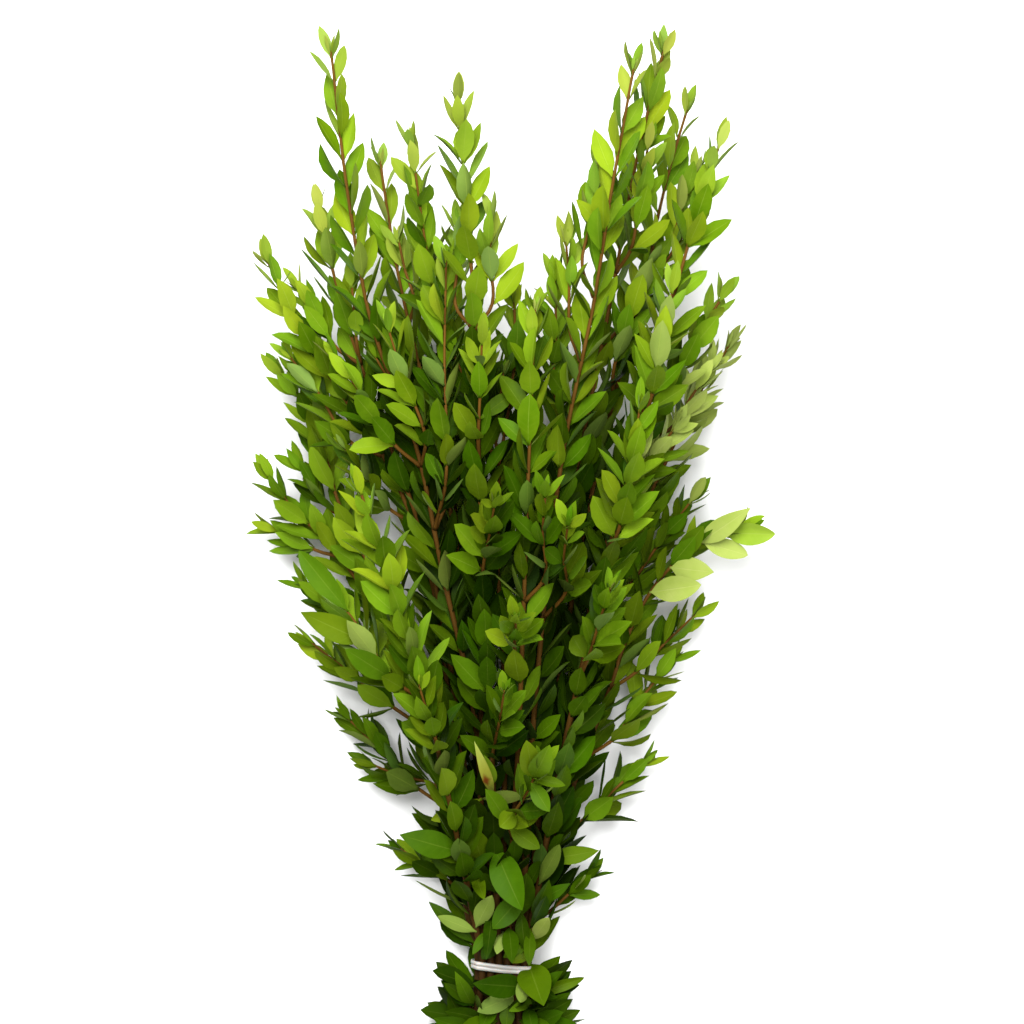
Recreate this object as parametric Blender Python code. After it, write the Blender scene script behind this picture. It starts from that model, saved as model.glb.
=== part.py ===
"""A bunch of cut myrtle branches held by an elastic band, lying on a flat surface.

Metres, +Z up. The stems run along +Y from their cut ends to the tips. While the bunch is laid out
the band goes round the stems at y = 0. Each branch is one closed body: four-sided stems, with every
side shoot and leaf raised from a facet of the stem that it grows on. Nothing touches: a shoot or
leaf tries one pose after another until it clears all that stands already.
"""

import math
import random

import bpy
import numpy as np
from mathutils.bvhtree import BVHTree

MM = 0.001
SEED = 11
ACROSS = np.array([1.0, 0.0, 0.0])
UPWARD = np.array([0.0, 0.0, 1.0])

# The tie: the stems side by side in three rows, and the two-strand band round them.
TIE_HEIGHT = 0.021
TIE_GAP = 0.0003
TIE_STRAIGHT = 0.008
STEM_HALF = 0.0026
PITCH = 2 * STEM_HALF + TIE_GAP
ROWS = {"lower": (6, -1), "middle": (7, 0), "upper": (6, 1)}
BAND_WIDTH = 0.0058
BAND_THICK = 0.0021
BAND_SECTION = ((-0.5, 0.0), (-0.36, 0.5), (-0.14, 0.5), (0.0, 0.3), (0.14, 0.5), (0.36, 0.5),
                (0.5, 0.0), (0.36, -0.5), (-0.36, -0.5))
BAND_TURNS = (0.0, 0.5, 1.0)

# Below the tie the stems splay and droop until the lowest cut ends rest on the surface.
CUT_LENGTH = 0.058
CUT_UNEVEN = 0.012
CUT_SPREAD = 1.6
CUT_CURVE = 1.1
CUT_LEVELS = (0.036, 0.026, 0.017)
CUT_REST = 0.0006
LOWEST_AT_TIE = TIE_HEIGHT - PITCH
CUT_DROP = TIE_HEIGHT - PITCH * CUT_SPREAD - STEM_HALF - CUT_REST

# Above the tie the stems open like a fan and press each other aside.
OPEN_END = 0.022
OPEN_OUT = 1.22
LIFT_POWER = 1.8
LIFT_EASE = 0.035
LEVEL_STEP = 0.030
SHIFT_KEPT = 0.85
PRESS_ROUNDS = 60
PRESS_SHARE = 0.45
SQUARE_REACH = 1.42
STEM_CLEAR = 0.0011
LOW_STEM = 0.001
TAPER = 0.8
MAIN_TIP_HALF = 0.0009
TWIST_FROM = 0.045
TWIST_SPAN = 0.10
TWIST_MOST = 0.75
BARE_STEP = 0.045
TIP_LEAVES = 0.015

# Side shoots, and the gap that they and the leaves keep to the rest.
CLEAR = 0.0004
SHOOT_ROOT_HALF = 0.0014
SHOOT_TIP_HALF = 0.0007
SHOOT_LEAVE = (0.66, 0.80)
SHOOT_BEND = 0.20
SHOOT_NEARLY = (0.6, 0.06)
SHOOT_FOOT = 0.0038
SHOOT_BARE = 0.014
SHOOT_TWIST = (0.012, 0.05, 0.8)
SHOOT_SITES_TRIED = 4
SHOOT_STRAY = 0.075
SHOOT_AIMS_TRIED = 6
SHOOT_AIM_STEP = 0.004
SHOOT_LOWEST = 0.006

# Where the leaf pairs sit, counted back from a shoot's tip, and the stretch of stem that bears one.
LEAF_FOOT = 0.0015
FIRST_PAIR = 0.004
PAIR_GAP = 0.015
PAIR_GAP_GROWS = 0.0066
PAIR_GAP_MOST = {"upper": 0.042, "middle": 0.066, "lower": 0.062, "shoot": 0.041}
LEAFY_FROM = 0.018
CROWDED_TO = 0.085
BELOW_FIRST = 0.016
BELOW_STEP = 0.009

# Leaves: sizes, lean from the stem in degrees, and how far each draw goes either way.
LEAF_LENGTH = 0.034
YOUNG_LENGTH = 0.021
GROWN_AFTER = 0.05
LEAF_WIDTH = 0.44
LEAF_HALF_THICK = 0.0003
LEAF_CUTS = ((0.34, 1.0), (0.70, 0.62))
LARGE_LEAF = 0.0347
LEAN_YOUNG = 14
LEAN_GROWN = 29
LEAN_HUGGING = 16
LEAN_BELOW = 62
LEAN_LIMITS = (0.2, 1.75)
LEAN_DRAW = (-8, 12)
LEAN_DRAW_BELOW = (-24, 34)
HEADING_DRAW = 20
ROLL_DRAW = 20
CURL_DRAW = (-20, 12)
CURL_LOOSE = 1.8
LENGTH_DRAW = (0.88, 1.06)
WIDTH_DRAW = (0.92, 1.10)
TOWARD_LIGHT = 0.8
TOWARD_LIGHT_BELOW = 0.9
TOWARD_MOST = 1.4
TOWARD_DRAW = (0.4, 1.6)
LEAF_TRIES = 30
LOOSER = 0.11
NECK = 0.07
TWIST_LIMIT = 0.5

# Each branch: points of its stem in millimetres (across, along), its tip (across, along, height),
# and its side shoots' tips with their lengths.
BRANCHES = {
    "upper_branch_1": (((-31, 96), (-50, 182), (-72, 259)), (-95, 328, 150),
                       ((-111, 266, 110, 95), (-53, 205, 140, 70))),
    "upper_branch_2": (((-20, 178), (-37, 252), (-59, 353), (-81, 410), (-98, 497)), (-111, 607, 120),
                       ((-58, 548, 130, 240), (-36, 474, 128, 165), (-73, 432, 130, 90),
                        (-108, 414, 100, 90))),
    "upper_branch_3": (((-7, 134), (-12, 239), (-15, 323), (-20, 455)), (-30, 575, 140),
                       ((-42, 504, 125, 70), (-7, 501, 135, 65), (-13, 423, 160, 70),
                        (-5, 320, 165, 80), (1, 201, 135, 80))),
    "upper_branch_4": (((11, 175), (16, 317)), (21, 442, 150),
                       ((27, 327, 165, 85), (8, 247, 160, 80), (24, 154, 125, 80))),
    "upper_branch_5": (((21, 181), (40, 347), (58, 434), (68, 498)), (85, 593, 150),
                       ((61, 534, 130, 65), (40, 487, 130, 80), (33, 463, 120, 95),
                        (41, 307, 165, 95))),
    "upper_branch_6": (((37, 134), (63, 252), (89, 360), (111, 444), (132, 516)), (143, 548, 120),
                       ((108, 457, 125, 90), (87, 381, 140, 100), (68, 266, 140, 90))),
    "middle_branch_1": (((-32, 160), (-48, 265), (-76, 334), (-111, 386), (-144, 443)), (-157, 475, 80),
                        ((-138, 415, 70, 80), (-102, 356, 90, 80))),
    "middle_branch_2": (((-28, 147), (-51, 278), (-83, 369), (-104, 432)), (-122, 510, 90),
                        ((-133, 459, 75, 70), (-97, 462, 100, 70))),
    "middle_branch_3": (((-15, 173), (-41, 337), (-70, 466)), (-81, 539, 90),
                        ((-67, 489, 90, 65), (-82, 414, 105, 80))),
    "middle_branch_4": (((1, 174), (-3, 317), (8, 407)), (7, 448, 110),
                        ((1, 404, 115, 60), (-31, 414, 110, 90))),
    "middle_branch_5": (((18, 134), (44, 304), (69, 434), (90, 544)), (107, 610, 100),
                        ((93, 549, 110, 70), (121, 499, 90, 80))),
    "middle_branch_6": (((28, 133), (63, 337), (89, 441), (110, 530)), (123, 573, 80),
                        ((125, 534, 85, 55), (98, 489, 95, 80))),
    "middle_branch_7": (((37, 120), (70, 289), (99, 358), (127, 415)), (149, 451, 85),
                        ((136, 408, 75, 70), (111, 369, 100, 80))),
    "lower_branch_1": (((-42, 120), (-78, 225), (-114, 279), (-140, 304)), (-160, 336, 34),
                       ((-151, 303, 22, 60), (-129, 266, 36, 75), (-126, 229, 30, 105),
                        (-103, 180, 22, 90), (-87, 149, 22, 70), (-69, 94, 20, 52))),
    "lower_branch_2": (((-32, 106), (-71, 232), (-107, 304), (-125, 360)), (-154, 403, 40),
                       ((-133, 344, 34, 80),)),
    "lower_branch_3": (((-19, 146), (-32, 317), (-36, 415)), (-37, 474, 48),
                       ((-54, 415, 44, 80),)),
    "lower_branch_4": (((18, 146), (32, 304), (37, 383)), (37, 435, 48),
                       ((57, 383, 44, 80),)),
    "lower_branch_5": (((33, 106), (72, 258), (106, 331), (133, 386)), (156, 421, 40),
                       ((124, 323, 34, 100), (96, 178, 30, 95))),
    "lower_branch_6": (((31, 74), (66, 173), (98, 249), (134, 282)), (172, 295, 34),
                       ((127, 248, 28, 75), (112, 219, 26, 90), (93, 150, 22, 90), (57, 76, 20, 55))),
}

LEAF_COLOURS = {"upper": (0.13, 0.30, 0.03), "middle": (0.10, 0.24, 0.03), "lower": (0.07, 0.18, 0.025)}
LEAF_ROUGHNESS = 0.5
BAND_COLOUR = (0.80, 0.80, 0.76)
BAND_ROUGHNESS = 0.45


def unit(v):
    return v / math.sqrt(float(v @ v))


def turned(v, axis, angle):
    """v turned about a unit axis."""
    c, s = math.cos(angle), math.sin(angle)
    return v * c + np.cross(axis, v) * s + axis * float(axis @ v) * (1 - c)


def tree_of(points, faces):
    return BVHTree.FromPolygons([tuple(p) for p in points], faces, all_triangles=True)


def strip(low, high):
    """Triangles between two rings of four, the broad faces split alike."""
    a, b, c, d = low
    e, f, g, h = high
    return [(a, b, f), (a, f, e), (b, c, g), (b, g, f), (c, d, g), (d, h, g), (d, a, e), (d, e, h)]


def blade_faces(root, first, sections):
    """Triangles from a leaf's root corners over its sections to the two points of its tip."""
    faces = []
    loop = root
    for k in range(sections):
        ring = tuple(first + 4 * k + j for j in range(4))
        faces += strip(loop, ring)
        loop = ring
    a, b, c, d = loop
    low, high = first + 4 * sections, first + 4 * sections + 1
    return faces + [(a, b, low), (b, c, high), (b, high, low), (c, d, high), (d, a, low), (d, low, high)]


ROOT_CAP = [(0, 2, 1), (0, 3, 2)]
BOX_FACES = ROOT_CAP + [(4, 5, 6), (4, 6, 7)] + strip((0, 1, 2, 3), (4, 5, 6, 7))
CLOSED_BLADE = {n: ROOT_CAP + blade_faces((0, 1, 2, 3), 4, n) for n in (0, 1, 2)}


class Obstacles:
    """Everything placed so far, as small triangle trees with their boxes."""

    MOST = 8192

    def __init__(self):
        self.low = np.empty((self.MOST, 3))
        self.high = np.empty((self.MOST, 3))
        self.trees = []

    def add(self, points, faces):
        k = len(self.trees)
        self.low[k] = points.min(axis=0)
        self.high[k] = points.max(axis=0)
        self.trees.append(tree_of(points, faces))
        return k

    def hit(self, points, faces, but=()):
        k = len(self.trees)
        near = (self.low[:k] <= points.max(axis=0)) & (self.high[:k] >= points.min(axis=0))
        found = [j for j in np.flatnonzero(near.all(axis=1)) if j not in but]
        if not found:
            return False
        mine = tree_of(points, faces)
        return any(mine.overlap(self.trees[j]) for j in found)


class Course:
    """A smooth line through points, with a side direction carried along it without twisting."""

    STEP = 0.004

    def __init__(self, points, side, held=0):
        points = np.array(points, float)
        spans = np.linalg.norm(np.diff(points, axis=0), axis=1)
        knots = np.concatenate([[0], np.cumsum(spans)])
        count = max(3, int(knots[-1] / self.STEP))
        t = np.linspace(0, knots[-1], count)
        self.points = self.through(points, spans, knots, t)
        steps = np.linalg.norm(np.diff(self.points, axis=0), axis=1)
        self.arcs = np.concatenate([[0], np.cumsum(steps)])
        self.length = float(self.arcs[-1])
        ahead = np.gradient(self.points, self.arcs, axis=0)
        self.ahead = ahead / np.linalg.norm(ahead, axis=1)[:, None]
        self.sides = self.carried(side, int(abs(t - knots[held]).argmin()))

    @staticmethod
    def through(points, spans, knots, t):
        """Cubics between the points, each slope a mean of the spans beside it."""
        slopes = np.diff(points, axis=0) / spans[:, None]
        before, after = spans[:-1, None], spans[1:, None]
        inner = (slopes[:-1] * after + slopes[1:] * before) / (after + before)
        ends = np.vstack([slopes[:1], inner, slopes[-1:]])
        i = np.clip(np.searchsorted(knots, t, side="right") - 1, 0, len(points) - 2)
        h = (knots[i + 1] - knots[i])[:, None]
        u = (t - knots[i])[:, None] / h
        first = points[i] * (1 + 2 * u) * (1 - u) ** 2 + ends[i] * h * u * (1 - u) ** 2
        return first + points[i + 1] * u**2 * (3 - 2 * u) + ends[i + 1] * h * u**2 * (u - 1)

    def carried(self, side, start):
        sides = np.empty_like(self.points)
        sides[start] = unit(side - self.ahead[start] * float(self.ahead[start] @ side))
        for step, stop in ((1, len(sides)), (-1, -1)):
            for k in range(start + step, stop, step):
                a, last = self.ahead[k], sides[k - step]
                sides[k] = unit(last - a * float(a @ last))
        return sides

    def at(self, arc):
        """Centre, direction and side at this distance from the start."""
        centre, ahead, side = (
            np.array([np.interp(arc, self.arcs, rows[:, k]) for k in range(3)])
            for rows in (self.points, self.ahead, self.sides))
        ahead = unit(ahead)
        return centre, ahead, unit(side - ahead * float(ahead @ side))

    def arc_at(self, y):
        return float(np.interp(y, self.points[:, 1], self.arcs))


class Shoot:
    """One stem: a four-sided tube with sites, short stretches whose facets bear leaves or shoots."""

    def __init__(self, course, halves, twist, tie_arc=None):
        self.course = course
        self.halves = halves
        self.twist = twist
        self.tie_arc = tie_arc
        self.root_loop = None
        self.sites = []
        self.crowded = set()
        self.borne = {}
        self.segments = []
        self.rings = []

    def half(self, arc):
        """Half the stem's side: even to the tie, then tapering to the tip."""
        start = 0 if self.tie_arc is None else self.tie_arc + TIE_STRAIGHT
        share = max(0.0, min(1.0, (arc - start) / (self.course.length - start)))
        return self.halves[0] + (self.halves[1] - self.halves[0]) * share**TAPER

    def frame(self, arc):
        centre, ahead, side = self.course.at(arc)
        start, span, angle = self.twist
        side = turned(side, ahead, angle * min(1, max(0, (arc - start) / span)))
        return centre, ahead, side, np.cross(ahead, side)

    def ring(self, arc, grow=0.0):
        centre, _, side, other = self.frame(arc)
        r = self.half(arc) + grow
        return np.array([centre + r * (a * side + b * other)
                         for a, b in ((1, 1), (-1, 1), (-1, -1), (1, -1))])

    def normal(self, arc, facet):
        _, _, side, other = self.frame(arc)
        return (other, -side, -other, side)[facet]

    def facet_centre(self, arc, facet):
        return self.course.at(arc)[0] + self.half(arc) * self.normal(arc, facet)

    def root_quad(self, arc, facet):
        """The four corners of a site's facet, from which a leaf or shoot is raised."""
        low, high = self.ring(arc - LEAF_FOOT / 2), self.ring(arc + LEAF_FOOT / 2)
        n = (facet + 1) % 4
        return np.array([low[facet], low[n], high[n], high[facet]])

    def boxes(self, grow):
        """The stem's stretches from ring to ring, grown by a clearance."""
        loops = [self.ring(a, grow) for a in self.rings + [self.course.length]]
        return [np.vstack(pair) for pair in zip(loops[:-1], loops[1:])]

    def stand_in(self, obstacles):
        """Adds the stem to what stands already."""
        boxes = self.boxes(0)
        if self.root_loop is not None:
            boxes.append(np.vstack([self.root_loop, boxes[0][:4]]))
        self.segments = [obstacles.add(box, BOX_FACES) for box in boxes]


def lay_rings(start, sites):
    """Where a stem's rings are: two at each site, and more where it is bare for long."""
    rings = list(start)
    for site in sites:
        gap = site - LEAF_FOOT / 2 - rings[-1]
        extra = int(gap / BARE_STEP)
        rings += [rings[-1] + gap * (k + 1) / (extra + 1) for k in range(extra)]
        rings += [site - LEAF_FOOT / 2, site + LEAF_FOOT / 2]
    return rings


def pair_sites(length, bare, most):
    """Where the leaf pairs sit, closer together towards the tip."""
    sites = []
    site, gap = length - FIRST_PAIR, PAIR_GAP
    while site > bare:
        sites.append(site)
        site -= gap
        gap = min(most, gap + PAIR_GAP_GROWS)
    return sites[::-1]


def tie_places():
    """Where each branch's stem crosses the tie, as (across, height)."""
    places = {}
    for row, (count, level) in ROWS.items():
        for k in range(count):
            across = (k - (count - 1) / 2) * PITCH
            places[f"{row}_branch_{k + 1}"] = (across, TIE_HEIGHT + level * PITCH)
    return places


def fan_line(points, tip, place):
    """A stem's line from the tie to its tip, before its neighbours press on it."""
    x, z = place
    rise = tip[2] * MM - TIE_HEIGHT
    line = [(x, TIE_STRAIGHT, z), (x * OPEN_OUT, OPEN_END, TIE_HEIGHT + (z - TIE_HEIGHT) * OPEN_OUT)]
    for across, along in points:
        share = along / tip[1]
        eased = along * MM / (along * MM + LIFT_EASE * (1 - share))
        lift = rise * (1 - (1 - share) ** LIFT_POWER) * eased
        line.append((across * MM, along * MM, TIE_HEIGHT + (z - TIE_HEIGHT) * (1 - share) + lift))
    end = np.array(tip) * MM
    line.append(end - unit(end - np.array(line[-1])) * TIP_LEAVES)
    return Course(line, ACROSS).points


def press(at, thick):
    """Stems that cross one level, moved apart until their squares clear each other."""
    others = 1 - np.eye(len(at))
    need = (thick[:, None] + thick[None]) * SQUARE_REACH + STEM_CLEAR
    for _ in range(PRESS_ROUNDS):
        apart = at[:, None] - at[None]
        distance = np.linalg.norm(apart, axis=2) + np.eye(len(at))
        short = np.clip(need - distance, 0, None) * others / distance
        at = at + (apart * short[:, :, None]).sum(axis=1) * PRESS_SHARE
        at[:, 1] = np.maximum(at[:, 1], thick * SQUARE_REACH + LOW_STEM)
    return at


def pressed_apart(lines):
    """The stems' points at even levels, moved until no two press into each other.

    Each level starts from the last one's shifts, so a stem that gives way stays bent aside."""
    middle = np.array([0, TIE_STRAIGHT, TIE_HEIGHT])
    opened = [middle + (line[0] - middle) * OPEN_OUT for line in lines]
    paths = [[line[0], np.array([p[0], OPEN_END, p[2]])] for line, p in zip(lines, opened)]
    shift = np.zeros((len(lines), 2))
    for y in np.arange(OPEN_END + LEVEL_STEP / 2, max(line[-1, 1] for line in lines), LEVEL_STEP):
        live = [i for i, line in enumerate(lines) if line[-1, 1] > y + 0.4 * LEVEL_STEP]
        if not live:
            break
        ends = np.array([lines[i][-1, 1] for i in live])
        free = np.array([[np.interp(y, lines[i][:, 1], lines[i][:, k]) for k in (0, 2)] for i in live])
        thick = STEM_HALF + (MAIN_TIP_HALF - STEM_HALF) * (y / ends) ** TAPER
        at = press(free + shift[live] * SHIFT_KEPT, thick)
        shift[live] = at - free
        for i, (x, z) in zip(live, at):
            paths[i].append(np.array([x, y, z]))
    for line, path, (dx, dz) in zip(lines, paths, shift * SHIFT_KEPT):
        path.append(line[-1] + np.array([dx, 0, max(0, dz)]))
    return paths


def main_stem(path, place, row, draw):
    """A branch's main stem: cut end, splayed foot, straight through the tie, then up its path."""
    x, z = place
    uneven = CUT_UNEVEN if z > LOWEST_AT_TIE + MM else CUT_UNEVEN / 4
    line = []
    for down in (CUT_LENGTH - draw.uniform(0, uneven), *CUT_LEVELS):
        share = ((down - TIE_STRAIGHT) / (CUT_LENGTH - TIE_STRAIGHT)) ** CUT_CURVE
        spread = 1 + (CUT_SPREAD - 1) * share
        height = TIE_HEIGHT + (z - TIE_HEIGHT) * spread - CUT_DROP * share
        line.append(np.array([x * spread, -down, height]))
    line += [np.array([x, share * TIE_STRAIGHT, z]) for share in (-1, -0.7, 0.7)]
    course = Course(line + path, ACROSS, held=len(line) - 1)
    tie = course.arc_at(0)
    twist = (tie + TWIST_FROM, TWIST_SPAN, draw.uniform(-TWIST_MOST, TWIST_MOST))
    stem = Shoot(course, (STEM_HALF, MAIN_TIP_HALF), twist, tie)
    below = tie - BELOW_FIRST - BELOW_STEP * draw.randrange(3)
    above = pair_sites(course.length, tie + LEAFY_FROM, PAIR_GAP_MOST[row])
    stem.sites = [below] + above
    stem.crowded = {below} | {site for site in above if site < tie + CROWDED_TO}
    start = [0.0, below - LEAF_FOOT / 2, below + LEAF_FOOT / 2, tie - TIE_STRAIGHT, tie + TIE_STRAIGHT]
    stem.rings = lay_rings(start, above)
    return stem


def side_course(stem, site, facet, tip):
    """A side shoot's line, out of a facet and bent round to its tip."""
    start = stem.facet_centre(site, facet)
    normal = stem.normal(site, facet)
    ahead = stem.frame(site)[1]
    reach = float(np.linalg.norm(tip - start))
    leave = unit(normal * SHOOT_LEAVE[0] + ahead * SHOOT_LEAVE[1])
    bend = start + leave * reach * SHOOT_BEND
    nearly = start + (tip - start) * SHOOT_NEARLY[0] + leave * reach * SHOOT_NEARLY[1]
    return Course([start + leave * SHOOT_FOOT, bend, nearly, tip], np.cross(normal, ahead))


def site_for(stem, tip, length):
    """The stem's sites in the order in which they suit a side shoot of this length."""
    course = stem.course
    distance = np.linalg.norm(course.points - tip, axis=1)
    below_tip = course.arcs < course.arcs[int(distance.argmin())]
    wanted = course.arcs[int(np.where(below_tip, abs(distance - length), np.inf).argmin())]
    near = [site for site in stem.sites if site > stem.tie_arc and abs(site - wanted) < SHOOT_STRAY]
    return sorted(near, key=lambda site: abs(site - wanted))[:SHOOT_SITES_TRIED]


def grow_side_shoot(stem, tip, length, draw, obstacles):
    """Grows a side shoot to its tip or near it, where it clears everything, or gives None."""
    for site in site_for(stem, tip, length):
        toward = tip - stem.course.at(site)[0]
        free = [f for f in range(4) if (site, f) not in stem.borne]
        facet = max(free, key=lambda f: float(stem.normal(site, f) @ toward))
        for k in range(SHOOT_AIMS_TRIED):
            off = np.array([draw.uniform(-1, 1), draw.uniform(-1, 1), draw.uniform(-0.5, 1)])
            aim = tip + off * SHOOT_AIM_STEP * k
            aim[2] = max(aim[2], SHOOT_LOWEST)
            course = side_course(stem, site, facet, aim)
            start, span, most = SHOOT_TWIST
            shoot = Shoot(course, (SHOOT_ROOT_HALF, SHOOT_TIP_HALF),
                          (start, span, draw.uniform(-most, most)))
            shoot.sites = pair_sites(course.length, SHOOT_BARE, PAIR_GAP_MOST["shoot"])
            shoot.rings = lay_rings([0.0], shoot.sites)
            shoot.root_loop = stem.root_quad(site, facet)
            boxes = shoot.boxes(CLEAR)
            foot = np.vstack([shoot.root_loop, boxes[0][:4]])
            clear = not any(obstacles.hit(box, BOX_FACES) for box in boxes)
            clear = clear and not obstacles.hit(foot, BOX_FACES, stem.segments)
            if clear and min(box[:, 2].min() for box in boxes) > MM:
                shoot.stand_in(obstacles)
                stem.borne[(site, facet)] = shoot
                return shoot
    return None


def blade(root, ahead, up, length, width, curl, sections, fat=0.0):
    """Corners of a leaf beyond its root: flat sections along an arc, then the two of its tip.

    The midline leaves along ahead and turns away from up by curl over its length. fat grows the
    blade all round, to test what it clears."""
    across = np.cross(up, ahead)
    points = []
    for t, wide in LEAF_CUTS[:sections] + ((1.0, 0.0),):
        a = curl * t
        reach, fall = (math.sin(a) / curl, (1 - math.cos(a)) / curl) if abs(curl) > 1e-4 else (t, 0)
        centre = root + ahead * (reach * length) - up * (fall * length)
        half = (up * math.cos(a) + ahead * math.sin(a)) * (LEAF_HALF_THICK + fat)
        if wide:
            side = across * (width / 2 * wide + fat)
            points += [centre - side - half, centre + side - half, centre + side + half,
                       centre - side + half]
        else:
            end = (ahead * math.cos(a) - up * math.sin(a)) * fat
            points += [centre - half + end, centre + half + end]
    return np.array(points)


def leaf_pose(shoot, site, facet, loose, draw):
    """A leaf's direction, upper side, length, width and curl. loose widens the draws."""
    centre, ahead, _, _ = shoot.frame(site)
    normal = shoot.normal(site, facet)
    age = min(1.0, (shoot.course.length - site) / GROWN_AFTER)
    lean = LEAN_YOUNG + (LEAN_GROWN - LEAN_YOUNG) * age
    light = TOWARD_LIGHT * abs(float(normal[0]))
    lean_draw = LEAN_DRAW
    if site in shoot.crowded:
        lean = LEAN_HUGGING
    if centre[1] < 0:
        lean = LEAN_BELOW
        sideways = ACROSS * math.copysign(1, centre[0] + draw.uniform(-MM, MM))
        if normal[2] > 0.5:
            normal = unit(normal * 0.5 + sideways)
        light = TOWARD_LIGHT_BELOW
        lean_draw = LEAN_DRAW_BELOW
    angle = math.radians(lean + draw.uniform(*lean_draw) * loose)
    angle = min(max(angle, LEAN_LIMITS[0]), LEAN_LIMITS[1])
    heading = turned(normal, ahead, math.radians(draw.uniform(-HEADING_DRAW, HEADING_DRAW)) * loose)
    out = unit(ahead * math.cos(angle) + heading * math.sin(angle))
    up = unit(ahead * math.sin(angle) - heading * math.cos(angle))
    sky = UPWARD - out * out[2]
    toward = math.atan2(float(np.cross(up, sky) @ out), float(up @ sky))
    toward = min(max(toward, -TOWARD_MOST), TOWARD_MOST) * light * draw.uniform(*TOWARD_DRAW)
    up = turned(up, out, toward + math.radians(draw.uniform(-ROLL_DRAW, ROLL_DRAW)) * loose)
    curl = math.radians(draw.uniform(*CURL_DRAW)) * min(loose, CURL_LOOSE)
    length = YOUNG_LENGTH + (LEAF_LENGTH - YOUNG_LENGTH) * age
    length *= draw.uniform(*LENGTH_DRAW) * (1.1 - 0.1 * loose)
    width = length * LEAF_WIDTH * draw.uniform(*WIDTH_DRAW) * (0.8 + 0.2 * age)
    return out, up, length, width, curl


def grow_leaf(shoot, site, facet, large, draw, obstacles):
    """Raises a leaf in the first pose that clears everything, or gives False."""
    root = shoot.facet_centre(site, facet)
    loop = shoot.root_quad(site, facet)
    right = unit(loop[1] - loop[0])
    k = next(k for k, ring in enumerate(shoot.rings) if ring >= site)
    beside = shoot.segments[max(0, k - 2):k + 1]
    for attempt in range(LEAF_TRIES):
        out, up, length, width, curl = leaf_pose(shoot, site, facet, 1 + attempt * LOOSER, draw)
        sections = 2 if large and length > LARGE_LEAF else 1
        pose = (root, out, up, length, width, curl, sections)
        points = blade(*pose, fat=CLEAR)
        if float(np.cross(up, out) @ right) < TWIST_LIMIT or points[:, 2].min() < CLEAR:
            continue
        if obstacles.hit(np.vstack([loop, points]), CLOSED_BLADE[sections], beside):
            continue
        solid = blade(*pose)
        neck = loop + (solid[:4] - loop) * NECK
        if obstacles.hit(np.vstack([neck, solid]), CLOSED_BLADE[sections]):
            continue
        obstacles.add(np.vstack([loop, solid]), CLOSED_BLADE[sections])
        shoot.borne[(site, facet)] = pose
        return True
    return False


def grow_leaves(branches, draw, obstacles):
    """Leaves from the top row down, and in each row from the tips back."""
    for row in ("upper", "middle", "lower"):
        group = [shoot for name, shoots in branches.items() if name.startswith(row) for shoot in shoots]
        waiting = [(k, shoot, site) for shoot in group for k, site in enumerate(shoot.sites[::-1])]
        for k, shoot, site in sorted(waiting, key=lambda entry: entry[0]):
            facets = range(4) if site in shoot.crowded else ((0, 2), (1, 3))[k % 2]
            for facet in facets:
                if (site, facet) not in shoot.borne:
                    grow_leaf(shoot, site, facet, row == "upper", draw, obstacles)


def grow_bunch():
    """Every branch as a list of its stem and side shoots, with their leaves."""
    draw = random.Random(SEED)
    obstacles = Obstacles()
    places = tie_places()
    lines = [fan_line(points, tip, places[name]) for name, (points, tip, _) in BRANCHES.items()]
    branches = {}
    for name, path in zip(BRANCHES, pressed_apart(lines)):
        stem = main_stem(path, places[name], name.split("_")[0], draw)
        stem.stand_in(obstacles)
        branches[name] = [stem]
    band = band_mesh()
    obstacles.add(np.array(band[0]), band[1])
    for name, (_, _, tips) in BRANCHES.items():
        for x, y, z, length in tips:
            tip = np.array([x, y - TIP_LEAVES / MM, z]) * MM
            shoot = grow_side_shoot(branches[name][0], tip, length * MM, draw, obstacles)
            if shoot is not None:
                branches[name].append(shoot)
    grow_leaves(branches, draw, obstacles)
    for shoots in branches.values():
        crossed = BranchMesh(shoots[0]).crossed_leaves()
        for shoot in shoots:
            shoot.borne = {key: thing for key, thing in shoot.borne.items() if id(thing) not in crossed}
    return branches


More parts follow.
